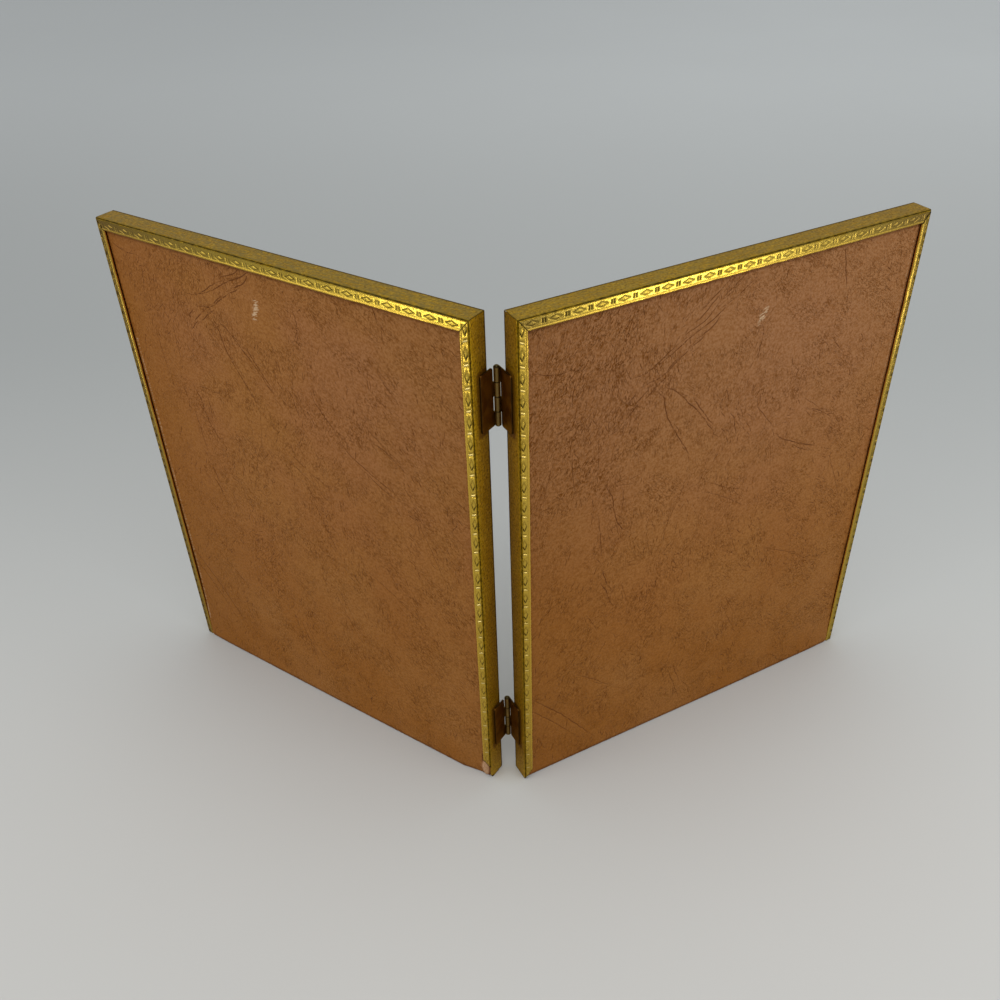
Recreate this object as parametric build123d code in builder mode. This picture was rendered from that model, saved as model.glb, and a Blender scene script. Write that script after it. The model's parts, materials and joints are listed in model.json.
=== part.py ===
from build123d import *
import os
from math import cos, radians, sin, tan

# Hinged double photo frame, in millimetres.
# Two leaves of folded sheet metal stand open like a book on a pair of small pinned hinges.
# The backs of the leaves face -Y, the pictures face +Y, and the hinge line is upright at X = 0.
# The right leaf is drawn first. The left leaf is its mirror image, apart from the hinge plates.

# Pose: the angle between the two leaves as they stand
open_angle = 118.4

# Filling of each leaf, for a standard 8 by 10 inch print
glass_width = 203.2
glass_height = 254.0
glass_thickness = 2.0
glass_edge_chamfer = 0.3
photo_thickness = 0.3
filler_thickness = 3.0
glass_side_clearance = 0.9
glass_seat_gap = 0.1
glass_head_room = 3.4

# Sliding back panel: a board inside a leatherette cover
board_thickness = 2.2
cover_thickness = 0.4
cover_edge_round = 0.3
turn_in_width = 14.0
panel_corner_radius = 2.0
panel_hinge_clearance = 0.4
panel_outer_overlap = 0.25
panel_top_clearance = 0.7
panel_floor_gap = 0.3
panel_lip_gap = 0.3
panel_slide_gap = 0.2

# Sheet-metal rails
sheet_thickness = 0.5
lip_width = 4.5
hem_width = 1.6
hem_gap = 0.3
corner_bend_radius = 0.8
wall_past_glass = 0.1
front_bend_radius = 0.9
flank_angle = 50
crown_radius = 3.0
moulding_rise = 4.7
moulding_width = 12.5
sight_step = 1.2
sight_bend_radius = 0.8
sight_gap = 0.05
bottom_wall_gap = 0.3
mitre_gap = 0.1

# Flat L-shaped keys in the corners of the moulding
key_thickness = 0.8
key_width = 5.0
key_arm_length = 22.0
key_skin_gap = 0.1
key_glass_gap = 0.2

# Hinges
hinge_length = 26.4
upper_hinge_drop = 25.1
lower_hinge_rise = 21.7
knuckle_count = 4
knuckle_gap = 0.2
plate_thickness = 0.65
plate_lap = 5.0
plate_corner_radius = 1.2
plate_notch_clearance = 0.3
curl_angle = 290
pin_radius = 0.65
pin_clearance = 0.05
pin_head_radius = 1.05
pin_head_height = 0.55
pin_head_gap = 0.1
closing_gap = 0.5

# Outside of a leaf
frame_width = glass_width + 2 * (glass_side_clearance + sheet_thickness)
frame_height = glass_height + glass_seat_gap + glass_head_room + 2 * sheet_thickness

# Depths through a leaf, from the back of its lip towards its front
hem_depth = 2 * sheet_thickness + hem_gap
panel_rear = hem_depth + panel_lip_gap
board_rear = panel_rear + cover_thickness
board_front = board_rear + board_thickness
panel_front = board_front + cover_thickness
filler_rear = panel_front + panel_slide_gap
photo_rear = filler_rear + filler_thickness
glass_rear = photo_rear + photo_thickness
glass_front = glass_rear + glass_thickness
wall_depth = glass_front + wall_past_glass
front_depth = wall_depth + moulding_rise
axis_depth = front_depth + closing_gap / 2

# Front of the moulding: a tight bend at the wall, a straight flank, then the rounded crown
flank = radians(flank_angle)
bend_rise = front_bend_radius * sin(flank)
bend_inset = front_bend_radius * (1 - cos(flank))
flank_rise = moulding_rise - bend_rise - crown_radius * (1 - sin(flank))
crown_inset = bend_inset + flank_rise * tan(flank) + crown_radius * cos(flank)

# Rolled knuckles: the plate curls round the pin, so its wall is the plate's own thickness
bore_radius = pin_radius + pin_clearance
knuckle_radius = bore_radius + plate_thickness
knuckle_pitch = (hinge_length + knuckle_gap) / knuckle_count
knuckle_length = knuckle_pitch - knuckle_gap
hinge_bottoms = {
    "upper_hinge": frame_height - upper_hinge_drop - hinge_length,
    "lower_hinge": lower_hinge_rise,
}

# Place of the right leaf. The origin is midway along Y between the back corner and the outer crown.
half_angle = radians(open_angle / 2)
along = Vector(sin(half_angle), cos(half_angle), 0)
forward = Vector(-cos(half_angle), sin(half_angle), 0)
up = Vector(0, 0, 1)
corner_from_axis = along * knuckle_radius - forward * axis_depth
rear_reach = corner_from_axis.Y + corner_bend_radius * (cos(half_angle) + sin(half_angle) - 1)
crown_centre = corner_from_axis + along * (frame_width - crown_inset) + forward * (front_depth - crown_radius)
front_reach = crown_centre.Y + crown_radius
hinge_y = -(rear_reach + front_reach) / 2
leaf_corner = Vector(0, hinge_y, 0) + corner_from_axis


def leaf_point(out, depth, height):
    """A point of the right leaf: out from its hinge side, forward from its back, up from the floor."""
    return leaf_corner + along * out + forward * depth + up * height


def face_plane(depth):
    """A plane parallel to the leaf, facing forward, with its origin at the middle of the base."""
    return Plane(leaf_point(frame_width / 2, depth, 0), x_dir=-along, z_dir=forward)


def save(part, name):
    part.label = name
    export_step(part, f"parts/{name}.step")


def save_pair(part, name):
    """Saves a piece of the right leaf, and its mirror image for the left leaf."""
    save(part, f"right_{name}")
    with BuildPart() as twin:
        mirror(part, about=Plane.YZ)
    save(twin.part, f"left_{name}")


os.makedirs("parts", exist_ok=True)


# Rails: one strip of sheet, hemmed at the lip, folded round the wall and drawn into the moulding
def draw_strip(has_lip):
    """Draws the outer skin of a rail, x inward from the wall and y forward, then gives it its thickness."""
    hem_radius = hem_depth / 2
    if has_lip:
        hem = Line((lip_width - hem_width, hem_depth), (lip_width - hem_radius, hem_depth))
        fold = JernArc(hem @ 1, hem % 1, hem_radius, -180)
        lip = Line(fold @ 1, (corner_bend_radius, 0))
        bend = JernArc(lip @ 1, lip % 1, corner_bend_radius, -90)
        wall_start = bend @ 1
    else:
        wall_start = Vector(0, panel_front + bottom_wall_gap)
    wall = Line(wall_start, (0, wall_depth))
    shoulder = JernArc(wall @ 1, wall % 1, front_bend_radius, -flank_angle)
    slope = PolarLine(shoulder @ 1, flank_rise / cos(flank), direction=shoulder % 1)
    crown = JernArc(slope @ 1, slope % 1, crown_radius, flank_angle - 90)
    sight_start = Vector(moulding_width - sight_bend_radius, glass_front + sight_step)
    ogee_middle = (crown @ 1 + sight_start) / 2
    swell = TangentArc(crown @ 1, ogee_middle, tangent=crown % 1)
    hollow = TangentArc(swell @ 1, sight_start, tangent=swell % 1)
    sight = JernArc(hollow @ 1, hollow % 1, sight_bend_radius, -90)
    Line(sight @ 1, (moulding_width, glass_front + sight_gap))
    offset(amount=sheet_thickness, side=Side.RIGHT)


rails = {
    "top_rail": (Plane(leaf_point(0, 0, frame_height), x_dir=-up, z_dir=along), frame_width, True),
    "outer_rail": (
        Plane(leaf_point(frame_width, 0, frame_height), x_dir=-along, z_dir=-up), frame_height, True,
    ),
    "bottom_rail": (Plane(leaf_point(frame_width, 0, 0), x_dir=up, z_dir=-along), frame_width, False),
    "hinge_rail": (Plane(leaf_point(0, 0, 0), x_dir=along, z_dir=up), frame_height, True),
}

for rail_name, (section, rail_length, has_lip) in rails.items():
    start_mitre = Plane(section.origin, z_dir=section.z_dir - section.x_dir)
    end_mitre = Plane(section.origin + section.z_dir * rail_length, z_dir=-section.z_dir - section.x_dir)
    with BuildPart() as rail:
        with BuildSketch(section):
            with BuildLine():
                draw_strip(has_lip)
            make_face()
        extrude(amount=rail_length)
        split(bisect_by=start_mitre.offset(mitre_gap / 2), keep=Keep.TOP)
        split(bisect_by=end_mitre.offset(mitre_gap / 2), keep=Keep.TOP)
    save_pair(rail.part, rail_name)

# Corner keys: four flat L shapes behind the flank, left of a flat ring once a cross is cut out of it
key_rear = glass_front + key_glass_gap
flank_inset = bend_inset + (key_rear + key_thickness - wall_depth - bend_rise) * tan(flank)
key_edge = flank_inset + sheet_thickness / cos(flank) + key_skin_gap
key_ring_width = frame_width - 2 * key_edge
key_ring_height = frame_height - 2 * key_edge
with BuildPart() as corner_keys:
    with BuildSketch(face_plane(key_rear)):
        with Locations((0, frame_height / 2)):
            Rectangle(key_ring_width, key_ring_height)
            Rectangle(key_ring_width - 2 * key_width, key_ring_height - 2 * key_width, mode=Mode.SUBTRACT)
            Rectangle(key_ring_width - 2 * key_arm_length, key_ring_height, mode=Mode.SUBTRACT)
            Rectangle(key_ring_width, key_ring_height - 2 * key_arm_length, mode=Mode.SUBTRACT)
    extrude(amount=key_thickness)
save_pair(corner_keys.part, "corner_keys")

# Glass, photo and filler card stand one behind the other on the bottom rail
filling_foot = sheet_thickness + glass_seat_gap
with BuildPart() as glass:
    with BuildSketch(face_plane(glass_rear)):
        with Locations((0, filling_foot)):
            Rectangle(glass_width, glass_height, align=(Align.CENTER, Align.MIN))
    extrude(amount=glass_thickness)
    chamfer(glass.faces().sort_by(Axis(leaf_corner, forward))[-1].edges(), glass_edge_chamfer)
save_pair(glass.part, "glass")

for sheet_name, sheet_rear, thickness in (
    ("photo_sheet", photo_rear, photo_thickness),
    ("filler_card", filler_rear, filler_thickness),
):
    with BuildPart() as flat_sheet:
        with BuildSketch(face_plane(sheet_rear)):
            with Locations((0, filling_foot)):
                Rectangle(glass_width, glass_height, align=(Align.CENTER, Align.MIN))
        extrude(amount=thickness)
    save_pair(flat_sheet.part, sheet_name)

# Back panel: the cover wraps the board's back and edges and is turned in over its front
panel_inner = sheet_thickness + panel_hinge_clearance
panel_outer = frame_width - lip_width + panel_outer_overlap
panel_width = panel_outer - panel_inner
panel_top = frame_height - sheet_thickness - panel_top_clearance
panel_height = panel_top - panel_floor_gap
panel_middle = (frame_width / 2 - (panel_inner + panel_outer) / 2, (panel_top + panel_floor_gap) / 2)
board_width = panel_width - 2 * cover_thickness
board_height = panel_height - 2 * cover_thickness
board_corner_radius = panel_corner_radius - cover_thickness

with BuildPart() as back_board:
    with BuildSketch(face_plane(board_rear)):
        with Locations(panel_middle):
            RectangleRounded(board_width, board_height, board_corner_radius)
    extrude(amount=board_thickness)
save_pair(back_board.part, "back_board")

with BuildPart() as back_cover:
    with BuildSketch(face_plane(panel_rear)):
        with Locations(panel_middle):
            RectangleRounded(panel_width, panel_height, panel_corner_radius)
    extrude(amount=panel_front - panel_rear)
    fillet(back_cover.faces().sort_by(Axis(leaf_corner, forward))[0].edges(), cover_edge_round)
    with BuildSketch(face_plane(board_rear)):
        with Locations(panel_middle):
            RectangleRounded(board_width, board_height, board_corner_radius)
    extrude(amount=board_thickness, mode=Mode.SUBTRACT)
    with BuildSketch(face_plane(board_front)):
        with Locations(panel_middle):
            Rectangle(panel_width - 2 * turn_in_width, panel_height - 2 * turn_in_width)
    extrude(amount=cover_thickness, mode=Mode.SUBTRACT)
save_pair(back_cover.part, "back_cover")


# Hinge plates: a flat soldered to the wall, with fingers that curl round the pin
plate_rear = wall_depth - plate_lap
flat_front = axis_depth - knuckle_radius - plate_notch_clearance
flat_width = flat_front - plate_rear


def draw_curl():
    """Draws a finger and its rolled knuckle in plan, x along the leaf and y forward."""
    pin_centre = Vector(-knuckle_radius, axis_depth)
    curl_end = Vector(bore_radius, 0).rotate(Axis.Z, curl_angle)
    outer = CenterArc(pin_centre, knuckle_radius, 0, curl_angle)
    inner = CenterArc(pin_centre, bore_radius, 0, curl_angle)
    Line(outer @ 1, pin_centre + curl_end)
    Polyline(inner @ 0, (-plate_thickness, flat_front), (0, flat_front), outer @ 0)


def right_hinge_plate(bottom, own_knuckles):
    """A hinge plate on the right leaf's wall, with the knuckles counted from the bottom."""
    with BuildPart() as plate:
        with BuildSketch(Plane(leaf_point(0, plate_rear, bottom), x_dir=forward, z_dir=along)) as flat:
            Rectangle(flat_width, hinge_length, align=(Align.MIN, Align.MIN))
            fillet(flat.vertices().group_by(Axis.X)[0], plate_corner_radius)
        extrude(amount=-plate_thickness)
        for knuckle in own_knuckles:
            knuckle_base = leaf_point(0, 0, bottom + knuckle * knuckle_pitch)
            with BuildSketch(Plane(knuckle_base, x_dir=along, z_dir=up)):
                with BuildLine():
                    draw_curl()
                make_face()
            extrude(amount=knuckle_length)
    return plate.part


for hinge_name, hinge_bottom in hinge_bottoms.items():
    save(right_hinge_plate(hinge_bottom, range(1, knuckle_count, 2)), f"{hinge_name}_right_plate")

    with BuildPart() as left_plate:
        mirror(right_hinge_plate(hinge_bottom, range(0, knuckle_count, 2)), about=Plane.YZ)
    save(left_plate.part, f"{hinge_name}_left_plate")

    # Pin, domed over at both ends
    head_base = -pin_head_gap
    head_top = hinge_length + pin_head_gap
    with BuildPart() as pin:
        with BuildSketch(Plane((0, hinge_y, hinge_bottom), x_dir=(1, 0, 0), z_dir=(0, -1, 0))):
            with BuildLine():
                lower_dome = TangentArc(
                    (0, head_base - pin_head_height), (pin_head_radius, head_base), tangent=(1, 0),
                )
                upper_dome = TangentArc(
                    (0, head_top + pin_head_height), (pin_head_radius, head_top), tangent=(1, 0),
                )
                Polyline(
                    lower_dome @ 1, (pin_radius, head_base), (pin_radius, head_top), upper_dome @ 1,
                )
                Line(lower_dome @ 0, upper_dome @ 0)
            make_face()
        revolve(axis=Axis((0, hinge_y, 0), (0, 0, 1)))
    save(pin.part, f"{hinge_name}_pin")
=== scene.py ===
import json
import math

import bmesh
import bpy
import numpy as np
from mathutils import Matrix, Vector
from mathutils.geometry import delaunay_2d_cdt


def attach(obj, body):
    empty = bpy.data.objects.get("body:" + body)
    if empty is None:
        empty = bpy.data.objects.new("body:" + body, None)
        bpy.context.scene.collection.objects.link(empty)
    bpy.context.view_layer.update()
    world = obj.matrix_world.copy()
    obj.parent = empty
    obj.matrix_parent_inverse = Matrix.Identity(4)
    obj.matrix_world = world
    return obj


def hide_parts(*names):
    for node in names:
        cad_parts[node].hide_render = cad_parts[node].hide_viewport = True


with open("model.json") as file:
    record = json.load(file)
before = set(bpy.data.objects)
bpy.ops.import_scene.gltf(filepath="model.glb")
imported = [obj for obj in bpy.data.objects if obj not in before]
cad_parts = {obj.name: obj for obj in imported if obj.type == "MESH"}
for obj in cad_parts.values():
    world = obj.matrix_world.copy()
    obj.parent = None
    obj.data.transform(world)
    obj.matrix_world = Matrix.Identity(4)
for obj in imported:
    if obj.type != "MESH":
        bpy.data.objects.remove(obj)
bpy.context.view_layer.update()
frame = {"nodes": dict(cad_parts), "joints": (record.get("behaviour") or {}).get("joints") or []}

# Hinged double photo frame seen from behind: gilt sheet-metal rails, leatherette backs, dark hinges.
# Sizes are in millimetres in each leaf's own axes, and a piece turns them into metres when it is made.
MM = 0.001
SIDES = ("left", "right")

# Sheet-metal rails, as they are folded
sheet_thickness = 0.5
hem_width = 1.6
hem_depth = 1.3
corner_bend_radius = 0.8
front_bend_radius = 0.9
flank_angle = 50
crown_radius = 3.0
moulding_rise = 4.7
sight_step = 1.2
sight_bend_radius = 0.8
sight_drop = 0.35
mitre_gap = 0.1
open_mitre_gap = 0.4
floor_lift = 0.15
foot_cut_slope = 1.5
foot_round = 2.2

# How closely the rails are divided
row_step = 0.27
mitre_zone = 13.0
lining_step = 5

# How far apart the rails lie in the gilt's pattern, so that they differ
pattern_shift = 300

# Width of each rail's lip: wider along the top, narrow at the outer side
LIP_WIDTHS = {
    "left": {"top_rail": 5.7, "hinge_rail": 4.65, "outer_rail": 3.9},
    "right": {"top_rail": 5.7, "hinge_rail": 4.65, "outer_rail": 4.1},
}

# Stamped border: hollow-sided lozenges and split blocks in turn
motif_pitch = 10.0
plain_edge_width = 1.2
lozenge_half_length = 2.8
lozenge_half_height = 1.1
lozenge_taper = 1.2
line_half_width = 0.24
block_half_size = 1.0
block_bar_place = 0.58
block_bar_half_width = 0.32
stamp_depth = 0.36

# The border where it is rubbed: slanting ridges for blocks, with painted shade beside them
ridge_half_width = 0.5
ridge_slant = 0.5
ridge_shade_place = 0.75
ridge_shade_half_width = 0.4
spot_half_length = 1.3
spot_half_height = 0.8

# How far the border's middle lies from the lip's inner edge
MOTIF_FROM_EDGE = {"left": 2.65, "right": 3.0}

# Where a lozenge lies along each rail, within one pitch
MOTIF_PLACES = {
    "left": {"top_rail": 7.55, "hinge_rail": 4.75, "outer_rail": 2.0, "bottom_rail": 0.0},
    "right": {"top_rail": 6.05, "hinge_rail": 3.9, "outer_rail": 6.5, "bottom_rail": 0.0},
}

# Other marks of the rails: lines along them, the seam near a top rail's end, the uneven wall and hem
groove_depth = 0.3
groove_half_width = 0.4
edge_line_depth = 0.08
edge_line_half_width = 0.16
score_place = 2.2
score_depth = 0.05
score_half_width = 0.3
seam_place = 1.8
seam_depth = 0.1
seam_half_width = 0.16
wall_dent = 0.03
hem_wave = 0.12

# How far the dark marks reach: darkening at the shoulder and at a hinge rail's foot, dirt in the mitres,
# painted shade along the break, and heat stain
shoulder_dark_reach = 0.9
mitre_dirt_reach = 0.22
foot_dark_reach = 0.5
broken_shade_reach = 0.8
stain_reach = 2.2

# The left hinge lip, broken off above the foot
broken_lip_height = 9.0
broken_lip_slope = 0.8
rows_above_break = 25
break_gap = 0.02
broken_edge_depth = corner_bend_radius + 0.1

# How dark the dirt is in the lines of a lozenge and in the bars of a block
BORDER_DIRT = {"left": (0.75, 0.62), "right": (0.6, 0.85)}

# How bright the painted glints on the ridges of each hinge lip are, and how dusty each top rail is
RIDGE_GLINT = {"left": 1.0, "right": 0.5}
TOP_DUST = {"left": 1.0, "right": 0.78}

# How bright the gilding is at places along each lip: partly tarnish, partly a painted reflection of bright
# light. A bottom rail takes after its hinge rail.
LIP_TARNISH_AND_REFLECTION = {
    ("left", "top_rail"): ((0, 40, 65, 120, 200), (1, 0.9, 0.6, 0.4, 0)),
    ("left", "outer_rail"): ((0, 120, 250), (0.1, 0.05, 0.15)),
    ("left", "hinge_rail"): ((0, 25, 120, 250), (0.5, 0.8, 0.95, 0.85)),
    ("right", "top_rail"): ((5, 25, 50, 95, 140, 200), (0.1, 0.45, 1, 0.9, 0.4, 0)),
    ("right", "outer_rail"): ((0, 120, 250), (0.2, 0.3, 0.6)),
    ("right", "hinge_rail"): ((0, 25, 120, 250), (0.4, 0.65, 0.75, 0.55)),
}

# Back panels
cover_edge_round = 0.3
cover_thickness = 0.4
turn_in_width = 14.0
turn_in_edge_round = 0.15
cover_side_step = 1.2
panel_corner_radius = 2.0
panel_point_step = 1.4
panel_margin = 0.9
panel_swell = 0.05
panel_bow_height = 60.0
foot_shadow_reach = 0.45
outer_reach = 0.6

# Creases of the backs
crease_half_width = 0.42
grain_half_width = 0.26
crease_step = 0.8
crease_depth = 0.13
crease_wander = 0.12
least_crease_gap = 0.2
crease_clearance = 0.45

# Photo paper
paper_thickness = 0.12
paper_clearance = 0.02
paper_grid = (52, 42)

# Hinges
plate_thickness = 0.65
plate_corner_radius = 1.2
plate_notch_clearance = 0.3
plate_face_inset = 0.5
plate_clearance = 0.02
knuckle_count = 4
knuckle_gap = 0.2
knuckle_radius = 1.35
curl_angle = 290
curl_points = 34
edge_bevel = 0.12
edge_shade_reach = 0.25
barrel_softness = 0.05
pin_radius = 0.65
pin_head_radius = 1.05
pin_head_height = 0.55
pin_tip_radius = 0.06
pin_sides = 40

# Every mesh: welding, sharp edges and rounded corners
weld_distance = 0.002
sharp_angle = 40
corner_points = 7
least_corner_radius = 0.5
edge_point_step = 1.2

# Camera of the photograph, for a square picture
camera_location = (0.0210898, -0.382881, 0.419989)
camera_turn_degrees = (53.4397, 1.5049, 2.5179)
camera_lens = 35.9465
camera_sensor = 36.0
camera_clip_start = 0.01


# The leaves and their axes
fold = next(joint for joint in frame["joints"] if joint["name"] == "fold")
half_angle = math.radians(-fold["range_deg"][0] / 2)
hinge_point = np.array(fold["pos_m"]) / MM


class Leaf:
    """One leaf: out from its hinge side, depth from its back to its front, height from the floor."""

    def __init__(self, side):
        self.side = side
        self.mirrored = side == "left"
        sign = -1 if self.mirrored else 1
        self.axes = np.array((
            (sign * math.sin(half_angle), math.cos(half_angle), 0),
            (-sign * math.cos(half_angle), math.sin(half_angle), 0),
            (0, 0, 1),
        ))
        self.corner = np.zeros(3)
        self.corner = self.own("hinge_rail")[0]
        self.width = self.own("outer_rail")[1][0]
        self.height = self.own("top_rail")[1][2]
        self.axis = self.axes @ hinge_point - self.corner

    def extent(self, node):
        """The least and greatest out, depth and height of a node."""
        mesh = frame["nodes"][node].data
        points = np.empty(len(mesh.vertices) * 3)
        mesh.vertices.foreach_get("co", points)
        local = points.reshape(-1, 3) / MM @ self.axes.T - self.corner
        return local.min(axis=0), local.max(axis=0)

    def own(self, node):
        """The extent of a node of this leaf, named without its side."""
        return self.extent(f"{self.side}_{node}")

    def world(self, local):
        """Points of the leaf, in metres in the part's frame."""
        return (np.asarray(local) + self.corner) @ self.axes * MM


leaves = {side: Leaf(side) for side in SIDES}


# Making a piece
def add_object(name, data):
    holder = bpy.data.objects.new(name, data)
    bpy.context.scene.collection.objects.link(holder)
    return holder


def make_piece(name, leaf, local, faces, material, attributes, body, node):
    """A mesh piece from points in a leaf's axes. Its attributes hold a number or vector for each point."""
    mesh = bpy.data.meshes.new(name)
    mesh.from_pydata(leaf.world(local).tolist(), [], faces)
    for key, values in attributes.items():
        values = np.asarray(values, dtype=np.float32)
        kind, field = ("FLOAT_VECTOR", "vector") if values.ndim == 2 else ("FLOAT", "value")
        mesh.attributes.new(key, kind, "POINT").data.foreach_set(field, values.ravel())
    bm = bmesh.new()
    bm.from_mesh(mesh)
    bmesh.ops.remove_doubles(bm, verts=bm.verts, dist=weld_distance * MM)
    bmesh.ops.recalc_face_normals(bm, faces=bm.faces)
    bm.to_mesh(mesh)
    bm.free()
    mesh.shade_smooth()
    mesh.set_sharp_from_angle(angle=math.radians(sharp_angle))
    mesh.materials.append(material)
    piece = add_object(name, mesh)
    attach(piece, body)
    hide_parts(node)


def grid_faces(rows, columns, closed):
    """Quads between the points of a grid, closed round its columns or not."""
    gaps = columns if closed else columns - 1
    row, column = np.meshgrid(np.arange(rows - 1), np.arange(gaps), indexing="ij")
    after = (column + 1) % columns
    below, above = row * columns, (row + 1) * columns
    quads = np.stack((below + column, below + after, above + after, above + column), axis=-1)
    return [tuple(quad) for quad in quads.reshape(-1, 4).tolist()]


def tube_faces(rows, columns, first=0):
    """Quads round a row of loops, and a face over each end. The points are numbered from first."""
    faces = grid_faces(rows, columns, closed=True)
    faces.append(tuple(range(columns)))
    faces.append(tuple(range((rows - 1) * columns, rows * columns)))
    return [tuple(first + corner for corner in face) for face in faces]


def ripple(place, seed, waves, shortest, longest):
    """A smooth uneven line between about -1 and 1, the same each time for one seed."""
    draw = np.random.default_rng(seed)
    lengths = draw.uniform(shortest, longest, waves)
    phases = draw.uniform(0, 2 * math.pi, waves)
    parts = [np.sin(2 * math.pi * place / length + phase) for length, phase in zip(lengths, phases)]
    return sum(parts) / math.sqrt(waves)


def bump_at(distance, half_width):
    """A rounded line: 1 at its middle and near 0 past twice its half width."""
    return np.exp(-np.square(distance / half_width))


def soft_inside(distance, softness):
    """1 where a signed distance lies inside, 0 outside, with a soft edge."""
    return 1 / (1 + np.exp(np.clip(distance / softness, -40, 40)))


def on_circle(turns):
    """Points on a circle of radius 1."""
    return np.column_stack((np.cos(turns), np.sin(turns)))


def rounded_loop(low, high, inset, radius):
    """Points round a rectangle with rounded corners, drawn in by inset, as many whatever the inset."""
    corner = max(radius - inset, least_corner_radius)
    pull = max(inset - radius + corner, 0)
    arcs = []
    for number, towards in enumerate(((1, 1), (-1, 1), (-1, -1), (1, -1))):
        towards = np.array(towards)
        centre = np.where(towards > 0, high, low) - (radius + pull) * towards
        turns = np.radians(90 * number + np.linspace(0, 90, corner_points))
        arcs.append(centre + corner * on_circle(turns))
    loop = []
    for number, arc in enumerate(arcs):
        loop.extend(arc)
        after = arcs[(number + 1) % 4][0]
        count = round((high - low)[number % 2] / edge_point_step)
        loop.extend(arc[-1] + (after - arc[-1]) * step / count for step in range(1, count))
    return np.array(loop)


# Materials
class Shader:
    """Adds nodes to a material and links them as they are made."""

    def __init__(self, name):
        self.material = bpy.data.materials.new(name)
        self.material.use_nodes = True
        self.tree = self.material.node_tree
        self.surface = self.tree.nodes["Principled BSDF"]

    def put(self, socket, value):
        if isinstance(value, bpy.types.NodeSocket):
            self.tree.links.new(value, socket)
        elif socket.type == "RGBA":
            socket.default_value = (*value, 1.0)
        else:
            socket.default_value = value

    def node(self, kind, inputs, **settings):
        """A node with its settings and inputs, which are given by name or by number."""
        node = self.tree.nodes.new(kind)
        for name, value in settings.items():
            setattr(node, name, value)
        for name, value in inputs.items():
            self.put(node.inputs[name], value)
        return node

    def finish(self, **inputs):
        for name, value in inputs.items():
            self.put(self.surface.inputs[name.replace("_", " ")], value)
        return self.material

    def number(self, attribute):
        return self.node("ShaderNodeAttribute", {}, attribute_name=attribute).outputs["Fac"]

    def vector(self, attribute):
        return self.node("ShaderNodeAttribute", {}, attribute_name=attribute).outputs["Vector"]

    def metres(self):
        return self.node("ShaderNodeTexCoord", {}).outputs["Object"]

    def millimetres(self):
        """The part's own place, in millimetres, for nodes that carry no attributes."""
        return self.sized(self.metres(), (MM,) * 3)

    def sized(self, place, size, turn=0.0, shift=0.0):
        """Turns a place back by turn, then divides it by size."""
        inputs = {"Vector": place, "Scale": size, "Rotation": (0, 0, turn), "Location": (shift,) * 3}
        return self.node("ShaderNodeMapping", inputs, vector_type="TEXTURE").outputs["Vector"]

    def part(self, place, axis):
        return self.node("ShaderNodeSeparateXYZ", {"Vector": place}).outputs[axis]

    def noise(self, place, scale, detail=3.0, roughness=0.55, distortion=0.0):
        inputs = {
            "Vector": place, "Scale": scale, "Detail": detail,
            "Roughness": roughness, "Distortion": distortion,
        }
        return self.node("ShaderNodeTexNoise", inputs).outputs["Fac"]

    def cells(self, place, scale):
        return self.node("ShaderNodeTexVoronoi", {"Vector": place, "Scale": scale}).outputs["Distance"]

    def ramp(self, value, low, high, start=0.0, end=1.0):
        inputs = {"Value": value, "From Min": low, "From Max": high, "To Min": start, "To Max": end}
        return self.node("ShaderNodeMapRange", inputs, interpolation_type="SMOOTHSTEP").outputs["Result"]

    def math(self, operation, first, second=0.0):
        return self.node("ShaderNodeMath", {0: first, 1: second}, operation=operation).outputs[0]

    def times(self, first, second):
        return self.math("MULTIPLY", first, second)

    def plus(self, first, second):
        return self.math("ADD", first, second)

    def minus(self, first, second):
        return self.math("SUBTRACT", first, second)

    def mix(self, factor, first, second, blend="MIX"):
        inputs = {0: factor, 6: first, 7: second}
        return self.node("ShaderNodeMix", inputs, data_type="RGBA", blend_type=blend).outputs[2]

    def layered(self, colour, *layers):
        """A colour with others laid over it in turn, each given as how much it covers and its colour."""
        for cover, over in layers:
            colour = self.mix(cover, colour, over)
        return colour

    def bump(self, height, distance, strength=1.0):
        inputs = {"Height": height, "Distance": distance, "Strength": strength}
        return self.node("ShaderNodeBump", inputs).outputs["Normal"]

    def between(self, operation, inputs):
        return self.node("ShaderNodeVectorMath", inputs, operation=operation).outputs

    def stroke(self, place, start, end, half_width, ragged):
        """1 within half_width of a straight mark between two points, with a ragged edge."""
        start, end = Vector((*start, 0)), Vector((*end, 0))
        run = end - start
        offset = self.between("SUBTRACT", {0: place, 1: start})[0]
        reach = self.between("DOT_PRODUCT", {0: offset, 1: run / run.length_squared})["Value"]
        share = self.node("ShaderNodeClamp", {"Value": reach}).outputs[0]
        nearest = self.between("SCALE", {0: run, "Scale": share})[0]
        gap = self.between("DISTANCE", {0: offset, 1: nearest})["Value"]
        return self.ramp(self.minus(gap, self.times(ragged, half_width)), half_width * 0.6, 0.0)


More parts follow.
